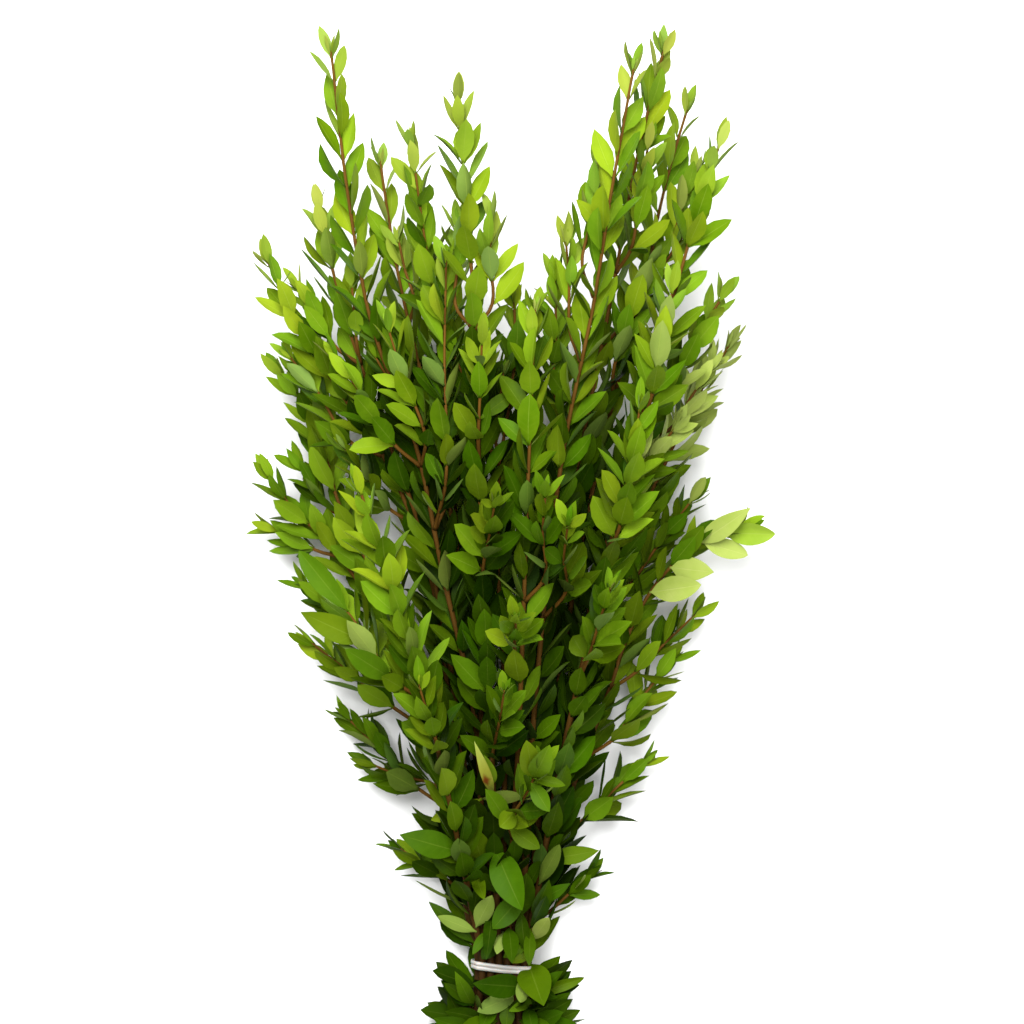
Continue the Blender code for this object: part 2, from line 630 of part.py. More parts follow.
class BranchMesh:
    """One closed body of a branch, as points and triangles."""

    def __init__(self, stem):
        self.points = []
        self.faces = []
        self.leaf_of = {}
        start = self.loop(stem.ring(0.0))
        self.faces += [(start[0], start[2], start[1]), (start[0], start[3], start[2])]
        self.tube(stem, start)

    def loop(self, ring):
        first = len(self.points)
        self.points += [tuple(p) for p in ring]
        return tuple(range(first, first + len(ring)))

    def tube(self, shoot, start):
        """A stem from its first loop to its tip, with what its facets bear raised from them."""
        rings = shoot.rings
        loops = [start] + [self.loop(shoot.ring(arc)) for arc in rings[1:]]
        borne = {(round(site, 6), facet): thing for (site, facet), thing in shoot.borne.items()}
        for k in range(len(loops) - 1):
            middle = round((rings[k] + rings[k + 1]) / 2, 6)
            for f in range(4):
                n = (f + 1) % 4
                quad = (loops[k][f], loops[k][n], loops[k + 1][n], loops[k + 1][f])
                self.facet(quad, borne.get((middle, f)))
        tip = len(self.points)
        self.points.append(tuple(shoot.course.at(shoot.course.length)[0]))
        last = loops[-1]
        self.faces += [(last[f], last[(f + 1) % 4], tip) for f in range(4)]

    def facet(self, quad, thing):
        if thing is None:
            self.faces += [(quad[0], quad[1], quad[2]), (quad[0], quad[2], quad[3])]
        elif isinstance(thing, Shoot):
            first = self.loop(thing.ring(0.0))
            self.faces += strip(quad, first)
            self.tube(thing, first)
        else:
            first = len(self.faces)
            ring = self.loop(blade(*thing))
            self.faces += blade_faces(quad, ring[0], thing[-1])
            self.leaf_of.update((k, id(thing)) for k in range(first, len(self.faces)))

    def crossed_leaves(self):
        """The leaves whose triangles cross others of the branch."""
        tree = tree_of(self.points, self.faces)
        found = set()
        for a, b in tree.overlap(tree):
            if not set(self.faces[a]) & set(self.faces[b]):
                found |= {self.leaf_of.get(a), self.leaf_of.get(b)}
        return found


def band_outline(off):
    """Points and outward directions round the outline of the rows of stems, off from its sides."""
    wide, high = 3 * PITCH + STEM_HALF, PITCH + STEM_HALF
    quarter = [(wide, STEM_HALF), (wide - PITCH / 2, high)]
    right = [(x, -z) for x, z in quarter[::-1]] + quarter
    corners = [np.array(c) for c in right + [(-x, -z) for x, z in right]]
    outline = []
    for i, corner in enumerate(corners):
        sides = (corner - corners[i - 1], corners[(i + 1) % len(corners)] - corner)
        start, end = (math.atan2(-side[0], side[1]) for side in sides)
        end += 2 * math.pi if end < start else 0
        for share in BAND_TURNS:
            angle = start + (end - start) * share
            outward = np.array([math.cos(angle), math.sin(angle)])
            outline.append((corner + outward * off, outward))
    return outline


def band_mesh():
    """The band: a section of two strands side by side, carried round the rows of stems."""
    points = []
    for centre, outward in band_outline(TIE_GAP + BAND_THICK / 2):
        for along, out in BAND_SECTION:
            x, z = centre + outward * (out * BAND_THICK)
            points.append((x, along * BAND_WIDTH, z + TIE_HEIGHT))
    n = len(BAND_SECTION)
    m = len(points) // n
    faces = []
    for k in range(m):
        for j in range(n):
            a, b = k * n + j, k * n + (j + 1) % n
            c, d = (k + 1) % m * n + (j + 1) % n, (k + 1) % m * n + j
            faces += [(a, b, c), (a, c, d)]
    return points, faces


def plain_material(name, colour, roughness):
    material = bpy.data.materials.new(name)
    material.use_nodes = True
    shader = material.node_tree.nodes["Principled BSDF"]
    shader.inputs["Base Color"].default_value = (*colour, 1)
    shader.inputs["Roughness"].default_value = roughness
    shader.inputs["Metallic"].default_value = 0
    return material


def add_object(name, mesh_data, material, parent):
    mesh = bpy.data.meshes.new(name)
    mesh.from_pydata(mesh_data[0], [], mesh_data[1])
    mesh.materials.append(material)
    obj = bpy.data.objects.new(name, mesh)
    bpy.context.scene.collection.objects.link(obj)
    obj.parent = parent
    return obj


def build_bunch():
    for old in list(bpy.data.objects):
        bpy.data.objects.remove(old)
    meshes = {}
    for name, shoots in grow_bunch().items():
        branch = BranchMesh(shoots[0])
        meshes[name] = (branch.points, branch.faces)
    corners = np.array([p for points, _ in meshes.values() for p in points])
    low, high = corners.min(axis=0), corners.max(axis=0)
    bunch = bpy.data.objects.new("bunch", None)
    bpy.context.scene.collection.objects.link(bunch)
    bunch.location = (-(low[0] + high[0]) / 2, -(low[1] + high[1]) / 2, -low[2])
    for name, mesh_data in meshes.items():
        colour = LEAF_COLOURS[name.split("_")[0]]
        add_object(name, mesh_data, plain_material(name, colour, LEAF_ROUGHNESS), bunch)
    add_object("tie_band", band_mesh(), plain_material("tie_band", BAND_COLOUR, BAND_ROUGHNESS), bunch)


build_bunch()
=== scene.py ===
"""A bunch of cut myrtle branches held by an elastic band, lying on a pale floor, seen from above.

Metres, +Z up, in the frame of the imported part. The branches grow by the rule of the plain solids, from
the same points and the same seed, so every leaf of theirs is here too, as a finer blade, and further
leaves fill the gaps between them. Growth is laid out with the tie's middle over x = 0, y = 0.
"""

import math
import random

import bpy
import numpy as np
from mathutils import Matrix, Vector
from mathutils.bvhtree import BVHTree


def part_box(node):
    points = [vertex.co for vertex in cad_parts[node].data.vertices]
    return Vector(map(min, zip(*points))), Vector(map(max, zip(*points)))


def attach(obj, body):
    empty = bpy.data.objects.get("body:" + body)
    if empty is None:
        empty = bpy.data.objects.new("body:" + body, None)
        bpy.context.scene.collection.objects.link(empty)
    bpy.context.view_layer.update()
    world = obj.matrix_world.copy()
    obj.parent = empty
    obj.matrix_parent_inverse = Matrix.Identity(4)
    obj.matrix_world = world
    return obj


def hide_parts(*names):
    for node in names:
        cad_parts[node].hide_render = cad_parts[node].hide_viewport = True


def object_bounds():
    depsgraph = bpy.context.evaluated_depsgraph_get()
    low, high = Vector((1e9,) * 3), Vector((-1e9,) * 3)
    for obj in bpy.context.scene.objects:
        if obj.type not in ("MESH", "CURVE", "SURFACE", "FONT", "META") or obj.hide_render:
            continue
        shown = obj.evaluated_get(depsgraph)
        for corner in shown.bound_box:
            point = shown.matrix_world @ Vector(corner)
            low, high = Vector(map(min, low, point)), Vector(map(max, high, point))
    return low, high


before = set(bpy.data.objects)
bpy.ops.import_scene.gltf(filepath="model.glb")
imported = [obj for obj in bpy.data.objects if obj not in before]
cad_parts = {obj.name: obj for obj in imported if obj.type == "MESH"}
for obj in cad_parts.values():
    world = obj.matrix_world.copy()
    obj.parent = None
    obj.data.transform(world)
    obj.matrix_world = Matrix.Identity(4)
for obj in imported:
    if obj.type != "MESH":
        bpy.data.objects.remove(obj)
cad_low, cad_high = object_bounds()

# The stems: nineteen woody shoots, cut below the tie. They stand in three rows inside the band, splay
# below it down to their cut ends, and open above it like a fan. Young bark is smooth and reddish brown.

MM = 0.001
SEED = 11
ACROSS = np.array([1.0, 0.0, 0.0])
UPWARD = np.array([0.0, 0.0, 1.0])

TIE_HEIGHT = 0.021
TIE_GAP = 0.0003
TIE_STRAIGHT = 0.008
STEM_HALF = 0.0026
PITCH = 2 * STEM_HALF + TIE_GAP
ROW_LEVELS = (1, 0, -1)

CUT_LENGTH = 0.058
CUT_UNEVEN = 0.012
CUT_SPREAD = 1.6
CUT_CURVE = 1.1
CUT_LEVELS = (0.036, 0.026, 0.017)
CUT_REST = 0.0006
LOWEST_AT_TIE = TIE_HEIGHT - PITCH
CUT_DROP = TIE_HEIGHT - PITCH * CUT_SPREAD - STEM_HALF - CUT_REST

# Above the tie the stems open like a fan and press each other aside.
OPEN_END = 0.022
OPEN_OUT = 1.22
LIFT_POWER = 1.8
LIFT_EASE = 0.035
LEVEL_STEP = 0.030
SHIFT_KEPT = 0.85
PRESS_ROUNDS = 60
PRESS_SHARE = 0.45
SQUARE_REACH = 1.42
STEM_CLEAR = 0.0011
LOW_STEM = 0.001
TAPER = 0.8
MAIN_TIP_HALF = 0.0009
TWIST_FROM = 0.045
TWIST_SPAN = 0.10
TWIST_MOST = 0.75
BARE_STEP = 0.045
TIP_LEAVES = 0.015

# Where the leaf pairs sit, counted back from a shoot's tip, and the stretch of stem that bears one.
LEAF_FOOT = 0.0015
FIRST_PAIR = 0.004
PAIR_GAP = 0.015
PAIR_GAP_GROWS = 0.0066
PAIR_GAP_MOST = {"upper": 0.042, "middle": 0.066, "lower": 0.062, "shoot": 0.041}
LEAFY_FROM = 0.018
CROWDED_TO = 0.085
BELOW_FIRST = 0.016
BELOW_STEP = 0.009

# The branches, row by row from above: points of each stem in millimetres (across, along), its tip
# (across, along, height), and its side shoots' tips with their lengths.
BRANCHES = {
    "upper": (
        (((-31, 96), (-50, 182), (-72, 259)), (-95, 328, 150),
         ((-111, 266, 110, 95), (-53, 205, 140, 70))),
        (((-20, 178), (-37, 252), (-59, 353), (-81, 410), (-98, 497)), (-111, 607, 120),
         ((-58, 548, 130, 240), (-36, 474, 128, 165), (-73, 432, 130, 90), (-108, 414, 100, 90))),
        (((-7, 134), (-12, 239), (-15, 323), (-20, 455)), (-30, 575, 140),
         ((-42, 504, 125, 70), (-7, 501, 135, 65), (-13, 423, 160, 70), (-5, 320, 165, 80),
          (1, 201, 135, 80))),
        (((11, 175), (16, 317)), (21, 442, 150),
         ((27, 327, 165, 85), (8, 247, 160, 80), (24, 154, 125, 80))),
        (((21, 181), (40, 347), (58, 434), (68, 498)), (85, 593, 150),
         ((61, 534, 130, 65), (40, 487, 130, 80), (33, 463, 120, 95), (41, 307, 165, 95))),
        (((37, 134), (63, 252), (89, 360), (111, 444), (132, 516)), (143, 548, 120),
         ((108, 457, 125, 90), (87, 381, 140, 100), (68, 266, 140, 90))),
    ),
    "middle": (
        (((-32, 160), (-48, 265), (-76, 334), (-111, 386), (-144, 443)), (-157, 475, 80),
         ((-138, 415, 70, 80), (-102, 356, 90, 80))),
        (((-28, 147), (-51, 278), (-83, 369), (-104, 432)), (-122, 510, 90),
         ((-133, 459, 75, 70), (-97, 462, 100, 70))),
        (((-15, 173), (-41, 337), (-70, 466)), (-81, 539, 90),
         ((-67, 489, 90, 65), (-82, 414, 105, 80))),
        (((1, 174), (-3, 317), (8, 407)), (7, 448, 110),
         ((1, 404, 115, 60), (-31, 414, 110, 90))),
        (((18, 134), (44, 304), (69, 434), (90, 544)), (107, 610, 100),
         ((93, 549, 110, 70), (121, 499, 90, 80))),
        (((28, 133), (63, 337), (89, 441), (110, 530)), (123, 573, 80),
         ((125, 534, 85, 55), (98, 489, 95, 80))),
        (((37, 120), (70, 289), (99, 358), (127, 415)), (149, 451, 85),
         ((136, 408, 75, 70), (111, 369, 100, 80))),
    ),
    "lower": (
        (((-42, 120), (-78, 225), (-114, 279), (-140, 304)), (-160, 336, 34),
         ((-151, 303, 22, 60), (-129, 266, 36, 75), (-126, 229, 30, 105), (-103, 180, 22, 90),
          (-87, 149, 22, 70), (-69, 94, 20, 52))),
        (((-32, 106), (-71, 232), (-107, 304), (-125, 360)), (-154, 403, 40),
         ((-133, 344, 34, 80),)),
        (((-19, 146), (-32, 317), (-36, 415)), (-37, 474, 48),
         ((-54, 415, 44, 80),)),
        (((18, 146), (32, 304), (37, 383)), (37, 435, 48),
         ((57, 383, 44, 80),)),
        (((33, 106), (72, 258), (106, 331), (133, 386)), (156, 421, 40),
         ((124, 323, 34, 100), (96, 178, 30, 95))),
        (((31, 74), (66, 173), (98, 249), (134, 282)), (172, 295, 34),
         ((127, 248, 28, 75), (112, 219, 26, 90), (93, 150, 22, 90), (57, 76, 20, 55))),
    ),
}

tie_low, tie_high = (np.array(corner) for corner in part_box("tie_band"))
LAID = (tie_low + tie_high) / 2 - np.array([0, 0, TIE_HEIGHT])


def unit(v):
    return v / math.sqrt(float(v @ v))


def turned(v, axis, angle):
    """v turned about a unit axis."""
    c, s = math.cos(angle), math.sin(angle)
    return v * c + np.cross(axis, v) * s + axis * float(axis @ v) * (1 - c)


def tree_of(points, faces):
    return BVHTree.FromPolygons([tuple(p) for p in points], faces, all_triangles=True)


def strip(low, high):
    """Triangles between two rings of four, the broad faces split alike."""
    a, b, c, d = low
    e, f, g, h = high
    return [(a, b, f), (a, f, e), (b, c, g), (b, g, f), (c, d, g), (d, h, g), (d, a, e), (d, e, h)]


BOX_FACES = [(0, 2, 1), (0, 3, 2), (4, 5, 6), (4, 6, 7)] + strip((0, 1, 2, 3), (4, 5, 6, 7))


class Obstacles:
    """Everything placed so far, as small triangle trees with their boxes."""

    MOST = 8192

    def __init__(self):
        self.low = np.empty((self.MOST, 3))
        self.high = np.empty((self.MOST, 3))
        self.trees = []

    def add(self, points, faces):
        k = len(self.trees)
        self.low[k] = points.min(axis=0)
        self.high[k] = points.max(axis=0)
        self.trees.append(tree_of(points, faces))
        return k

    def hit(self, points, faces, but=()):
        k = len(self.trees)
        near = (self.low[:k] <= points.max(axis=0)) & (self.high[:k] >= points.min(axis=0))
        found = [j for j in np.flatnonzero(near.all(axis=1)) if j not in but]
        if not found:
            return False
        mine = tree_of(points, faces)
        return any(mine.overlap(self.trees[j]) for j in found)


class Course:
    """A smooth line through points, with a side direction carried along it without twisting."""

    STEP = 0.004

    def __init__(self, points, side, held=0):
        points = np.array(points, float)
        spans = np.linalg.norm(np.diff(points, axis=0), axis=1)
        knots = np.concatenate([[0], np.cumsum(spans)])
        count = max(3, int(knots[-1] / self.STEP))
        t = np.linspace(0, knots[-1], count)
        self.points = self.through(points, spans, knots, t)
        steps = np.linalg.norm(np.diff(self.points, axis=0), axis=1)
        self.arcs = np.concatenate([[0], np.cumsum(steps)])
        self.length = float(self.arcs[-1])
        ahead = np.gradient(self.points, self.arcs, axis=0)
        self.ahead = ahead / np.linalg.norm(ahead, axis=1)[:, None]
        self.sides = self.carried(side, int(abs(t - knots[held]).argmin()))

    @staticmethod
    def through(points, spans, knots, t):
        """Cubics between the points, each slope a mean of the spans beside it."""
        slopes = np.diff(points, axis=0) / spans[:, None]
        before, after = spans[:-1, None], spans[1:, None]
        inner = (slopes[:-1] * after + slopes[1:] * before) / (after + before)
        ends = np.vstack([slopes[:1], inner, slopes[-1:]])
        i = np.clip(np.searchsorted(knots, t, side="right") - 1, 0, len(points) - 2)
        h = (knots[i + 1] - knots[i])[:, None]
        u = (t - knots[i])[:, None] / h
        first = points[i] * (1 + 2 * u) * (1 - u) ** 2 + ends[i] * h * u * (1 - u) ** 2
        return first + points[i + 1] * u**2 * (3 - 2 * u) + ends[i + 1] * h * u**2 * (u - 1)

    def carried(self, side, start):
        sides = np.empty_like(self.points)
        sides[start] = unit(side - self.ahead[start] * float(self.ahead[start] @ side))
        for step, stop in ((1, len(sides)), (-1, -1)):
            for k in range(start + step, stop, step):
                a, last = self.ahead[k], sides[k - step]
                sides[k] = unit(last - a * float(a @ last))
        return sides

    def at(self, arc):
        """Centre, direction and side at this distance from the start."""
        centre, ahead, side = (
            np.array([np.interp(arc, self.arcs, rows[:, k]) for k in range(3)])
            for rows in (self.points, self.ahead, self.sides))
        ahead = unit(ahead)
        return centre, ahead, unit(side - ahead * float(ahead @ side))

    def arc_at(self, y):
        return float(np.interp(y, self.points[:, 1], self.arcs))


class Shoot:
    """One stem: a four-sided tube with sites, short stretches whose facets bear leaves or shoots."""

    def __init__(self, course, halves, twist, tie_arc=None):
        self.course = course
        self.halves = halves
        self.twist = twist
        self.tie_arc = tie_arc
        self.root_loop = None
        self.sites = []
        self.crowded = set()
        self.borne = {}
        self.segments = []
        self.rings = []

    def half(self, arc):
        """Half the stem's side: even to the tie, then tapering to the tip."""
        start = 0 if self.tie_arc is None else self.tie_arc + TIE_STRAIGHT
        share = max(0.0, min(1.0, (arc - start) / (self.course.length - start)))
        return self.halves[0] + (self.halves[1] - self.halves[0]) * share**TAPER

    def frame(self, arc):
        centre, ahead, side = self.course.at(arc)
        start, span, angle = self.twist
        side = turned(side, ahead, angle * min(1, max(0, (arc - start) / span)))
        return centre, ahead, side, np.cross(ahead, side)

    def ring(self, arc, grow=0.0):
        centre, _, side, other = self.frame(arc)
        r = self.half(arc) + grow
        return np.array([centre + r * (a * side + b * other)
                         for a, b in ((1, 1), (-1, 1), (-1, -1), (1, -1))])

    def normal(self, arc, facet):
        _, _, side, other = self.frame(arc)
        return (other, -side, -other, side)[facet]

    def facet_centre(self, arc, facet):
        return self.course.at(arc)[0] + self.half(arc) * self.normal(arc, facet)

    def root_quad(self, arc, facet):
        """The four corners of a site's facet, from which a leaf or shoot is raised."""
        low, high = self.ring(arc - LEAF_FOOT / 2), self.ring(arc + LEAF_FOOT / 2)
        n = (facet + 1) % 4
        return np.array([low[facet], low[n], high[n], high[facet]])

    def boxes(self, grow):
        """The stem's stretches from ring to ring, grown by a clearance."""
        loops = [self.ring(a, grow) for a in self.rings + [self.course.length]]
        return [np.vstack(pair) for pair in zip(loops[:-1], loops[1:])]

    def stand_in(self, obstacles):
        """Adds the stem to what stands already."""
        boxes = self.boxes(0)
        if self.root_loop is not None:
            boxes.append(np.vstack([self.root_loop, boxes[0][:4]]))
        self.segments = [obstacles.add(box, BOX_FACES) for box in boxes]


def lay_rings(start, sites):
    """Where a stem's rings are: two at each site, and more where it is bare for long."""
    rings = list(start)
    for site in sites:
        gap = site - LEAF_FOOT / 2 - rings[-1]
        extra = int(gap / BARE_STEP)
        rings += [rings[-1] + gap * (k + 1) / (extra + 1) for k in range(extra)]
        rings += [site - LEAF_FOOT / 2, site + LEAF_FOOT / 2]
    return rings


def pair_sites(length, bare, most):
    """Where the leaf pairs sit, closer together towards the tip."""
    sites = []
    site, gap = length - FIRST_PAIR, PAIR_GAP
    while site > bare:
        sites.append(site)
        site -= gap
        gap = min(most, gap + PAIR_GAP_GROWS)
    return sites[::-1]

def fan_line(points, tip, place):
    """A stem's line from the tie to its tip, before its neighbours press on it."""
    x, z = place
    rise = tip[2] * MM - TIE_HEIGHT
    line = [(x, TIE_STRAIGHT, z), (x * OPEN_OUT, OPEN_END, TIE_HEIGHT + (z - TIE_HEIGHT) * OPEN_OUT)]
    for across, along in points:
        share = along / tip[1]
        eased = along * MM / (along * MM + LIFT_EASE * (1 - share))
        lift = rise * (1 - (1 - share) ** LIFT_POWER) * eased
        line.append((across * MM, along * MM, TIE_HEIGHT + (z - TIE_HEIGHT) * (1 - share) + lift))
    end = np.array(tip) * MM
    line.append(end - unit(end - np.array(line[-1])) * TIP_LEAVES)
    return Course(line, ACROSS).points


def press(at, thick):
    """Stems that cross one level, moved apart until their squares clear each other."""
    others = 1 - np.eye(len(at))
    need = (thick[:, None] + thick[None]) * SQUARE_REACH + STEM_CLEAR
    for _ in range(PRESS_ROUNDS):
        apart = at[:, None] - at[None]
        distance = np.linalg.norm(apart, axis=2) + np.eye(len(at))
        short = np.clip(need - distance, 0, None) * others / distance
        at = at + (apart * short[:, :, None]).sum(axis=1) * PRESS_SHARE
        at[:, 1] = np.maximum(at[:, 1], thick * SQUARE_REACH + LOW_STEM)
    return at


def pressed_apart(lines):
    """The stems' points at even levels, moved until no two press into each other.

    Each level starts from the last one's shifts, so a stem that gives way stays bent aside."""
    middle = np.array([0, TIE_STRAIGHT, TIE_HEIGHT])
    opened = [middle + (line[0] - middle) * OPEN_OUT for line in lines]
    paths = [[line[0], np.array([p[0], OPEN_END, p[2]])] for line, p in zip(lines, opened)]
    shift = np.zeros((len(lines), 2))
    for y in np.arange(OPEN_END + LEVEL_STEP / 2, max(line[-1, 1] for line in lines), LEVEL_STEP):
        live = [i for i, line in enumerate(lines) if line[-1, 1] > y + 0.4 * LEVEL_STEP]
        if not live:
            break
        ends = np.array([lines[i][-1, 1] for i in live])
        free = np.array([[np.interp(y, lines[i][:, 1], lines[i][:, k]) for k in (0, 2)] for i in live])
        thick = STEM_HALF + (MAIN_TIP_HALF - STEM_HALF) * (y / ends) ** TAPER
        at = press(free + shift[live] * SHIFT_KEPT, thick)
        shift[live] = at - free
        for i, (x, z) in zip(live, at):
            paths[i].append(np.array([x, y, z]))
    for line, path, (dx, dz) in zip(lines, paths, shift * SHIFT_KEPT):
        path.append(line[-1] + np.array([dx, 0, max(0, dz)]))
    return paths


def main_stem(path, place, row, draw):
    """A branch's main stem: cut end, splayed foot, straight through the tie, then up its path."""
    x, z = place
    uneven = CUT_UNEVEN if z > LOWEST_AT_TIE + MM else CUT_UNEVEN / 4
    line = []
    for down in (CUT_LENGTH - draw.uniform(0, uneven), *CUT_LEVELS):
        share = ((down - TIE_STRAIGHT) / (CUT_LENGTH - TIE_STRAIGHT)) ** CUT_CURVE
        spread = 1 + (CUT_SPREAD - 1) * share
        height = TIE_HEIGHT + (z - TIE_HEIGHT) * spread - CUT_DROP * share
        line.append(np.array([x * spread, -down, height]))
    line += [np.array([x, share * TIE_STRAIGHT, z]) for share in (-1, -0.7, 0.7)]
    course = Course(line + path, ACROSS, held=len(line) - 1)
    tie = course.arc_at(0)
    twist = (tie + TWIST_FROM, TWIST_SPAN, draw.uniform(-TWIST_MOST, TWIST_MOST))
    stem = Shoot(course, (STEM_HALF, MAIN_TIP_HALF), twist, tie)
    below = tie - BELOW_FIRST - BELOW_STEP * draw.randrange(3)
    above = pair_sites(course.length, tie + LEAFY_FROM, PAIR_GAP_MOST[row])
    stem.sites = [below] + above
    stem.crowded = {below} | {site for site in above if site < tie + CROWDED_TO}
    start = [0.0, below - LEAF_FOOT / 2, below + LEAF_FOOT / 2, tie - TIE_STRAIGHT, tie + TIE_STRAIGHT]
    stem.rings = lay_rings(start, above)
    return stem


draw = random.Random(SEED)
obstacles = Obstacles()
plans = {}
for level, (row, group) in zip(ROW_LEVELS, BRANCHES.items()):
    for k, plan in enumerate(group):
        place = ((k - (len(group) - 1) / 2) * PITCH, TIE_HEIGHT + level * PITCH)
        plans[f"{row}_branch_{k + 1}"] = (place, *plan)
paths = pressed_apart([fan_line(points, tip, place) for place, points, tip, _ in plans.values()])
branches = {}
for (name, (place, *_)), path in zip(plans.items(), paths):
    stem = main_stem(path, place, name.split("_")[0], draw)
    stem.stand_in(obstacles)
    branches[name] = [stem]

# The tie: an elastic band of two soft off-white strands side by side, stretched once round the stems.
# It is moulded rubber, slightly clear, so it is smooth. The strands lean and sag a little on the stems.

BAND_WIDTH = 0.0058
BAND_THICK = 0.0021
BAND_SECTION = np.array([(-0.5, 0.0), (-0.36, 0.5), (-0.14, 0.5), (0.0, 0.3), (0.14, 0.5), (0.36, 0.5),
                         (0.5, 0.0), (0.36, -0.5), (-0.36, -0.5)])
BAND_TURNS = (0.0, 0.5, 1.0)
BAND_LIFT = 0.0001
STRAND_HALF = 0.0014
STRAND_THICK_HALF = 0.0009
STRAND_SIDES = 14
STRAND_SAG = 2.6
# Each strand's place along the stems, and how far it leans.
STRANDS = ((-0.0013, -0.085), (0.0013, -0.095))
CLOUDY = ((0.31, 0.30, 0.275), (0.36, 0.35, 0.32))
# Noise as (scale, detail), and relief as (depth, strength).
CLOUDS = (260, 2)
RUBBER_SKIN = (900, 3)
RUBBER_RELIEF = (0.0001, 0.15)


def band_outline(off):
    """Points and outward directions round the outline of the rows of stems, off from its sides."""
    wide, high = 3 * PITCH + STEM_HALF, PITCH + STEM_HALF
    quarter = [(wide, STEM_HALF), (wide - PITCH / 2, high)]
    right = [(x, -z) for x, z in quarter[::-1]] + quarter
    corners = [np.array(c) for c in right + [(-x, -z) for x, z in right]]
    outline = []
    for i, corner in enumerate(corners):
        sides = (corner - corners[i - 1], corners[(i + 1) % len(corners)] - corner)
        start, end = (math.atan2(-side[0], side[1]) for side in sides)
        end += 2 * math.pi if end < start else 0
        for share in BAND_TURNS:
            angle = start + (end - start) * share
            outward = np.array([math.cos(angle), math.sin(angle)])
            outline.append((corner + outward * off, outward))
    return np.array(outline).transpose(1, 0, 2)


def carried_round(centres, outward, along, out):
    """Rings of points round the rows of stems, moved out from the centres and along the stems."""
    flat = centres[:, None] + outward[:, None] * out[..., None]
    along = np.broadcast_to(along, flat.shape[:2])
    return np.stack([flat[..., 0], along, flat[..., 1] + TIE_HEIGHT], axis=-1)


def elastic_strand(along_shift, lean):
    """A strand's rings: an oval carried round the rows of stems, leaning and sagging along them."""
    centres, outward = band_outline(TIE_GAP + STRAND_THICK_HALF + BAND_LIFT)
    centres = np.concatenate([centres, (centres + np.roll(centres, -1, axis=0)) / 2], axis=1).reshape(-1, 2)
    outward = np.concatenate([outward, outward + np.roll(outward, -1, axis=0)], axis=1).reshape(-1, 2)
    outward /= np.linalg.norm(outward, axis=1)[:, None]
    turn = np.linspace(0, 2 * math.pi, STRAND_SIDES, endpoint=False)
    sagging = lean * centres[:, :1] + STRAND_SAG * centres[:, :1] ** 2
    along = along_shift + sagging + STRAND_HALF * np.cos(turn)
    return carried_round(centres, outward, along, STRAND_THICK_HALF * np.sin(turn) * np.ones_like(along))


def tube_quads(rings, sides, closed=False):
    """Quads between rings of points, and from the last ring to the first if the tube is closed."""
    k, j = np.meshgrid(np.arange(rings if closed else rings - 1), np.arange(sides), indexing="ij")
    k1, j1 = (k + 1) % rings, (j + 1) % sides
    return np.stack([k * sides + j, k * sides + j1, k1 * sides + j1, k1 * sides + j], axis=-1).reshape(-1, 4)


class Value:
    """A number that varies over a surface. Arithmetic on it adds Math nodes to its material."""

    def __init__(self, finish, socket):
        self.finish = finish
        self.socket = socket

    def operator(operation, swapped=False):
        """A method that adds the Math node of an operation, with its own value second if swapped."""
        def method(self, *others):
            values = (*others, self) if swapped else (self, *others)
            return self.finish.node("ShaderNodeMath", {"operation": operation}, dict(enumerate(values)))
        return method

    __add__, __radd__ = operator("ADD"), operator("ADD", True)
    __sub__, __rsub__ = operator("SUBTRACT"), operator("SUBTRACT", True)
    __mul__, __rmul__ = operator("MULTIPLY"), operator("MULTIPLY", True)
    __truediv__, __gt__ = operator("DIVIDE"), operator("GREATER_THAN")
    __pow__, __abs__ = operator("POWER"), operator("ABSOLUTE")
    sine, cosine, fraction = operator("SINE"), operator("COSINE"), operator("FRACT")

    def held(self):
        """Kept between 0 and 1."""
        return self.finish.node("ShaderNodeClamp", {}, {"Value": self})


class Finish:
    """A material with one Principled shader. node adds any node to it."""

    def __init__(self, name, **constants):
        self.material = bpy.data.materials.new(name)
        self.material.use_nodes = True
        self.tree = self.material.node_tree
        self.shader = self.tree.nodes["Principled BSDF"]
        for socket, value in constants.items():
            self.shader.inputs[socket.replace("_", " ")].default_value = value

    def node(self, kind, settings, inputs, output=0):
        """Adds a node, sets it, fills its sockets by name or number, and gives one of its outputs."""
        added = self.tree.nodes.new(kind)
        for name, value in settings.items():
            setattr(added, name, value)
        for key, value in inputs.items():
            self.feed(added.inputs[key], value)
        return Value(self, added.outputs[output])

    def feed(self, socket, value):
        if isinstance(value, Value):
            self.tree.links.new(value.socket, socket)
        else:
            socket.default_value = (*value, 1) if socket.type == "RGBA" and len(value) == 3 else value

    def own(self, name):
        """The three numbers of a surface's own attribute."""
        vector = self.node("ShaderNodeAttribute", {"attribute_name": name}, {}, "Vector")
        return [self.node("ShaderNodeSeparateXYZ", {}, {0: vector}, k) for k in range(3)]

    def mix(self, share, first, second):
        """A colour between two, by a share from 0 to 1."""
        return self.node("ShaderNodeMix", {"data_type": "RGBA"}, {0: share, 6: first, 7: second}, 2)

    def noise(self, vector, scale, detail):
        return self.node("ShaderNodeTexNoise", {}, {"Vector": vector, "Scale": scale, "Detail": detail}, 0)

    def place(self):
        return self.node("ShaderNodeTexCoord", {}, {}, "Object")

    def bump(self, height, distance, strength):
        inputs = {"Height": height, "Distance": distance, "Strength": strength}
        self.feed(self.shader.inputs["Normal"], self.node("ShaderNodeBump", {}, inputs))


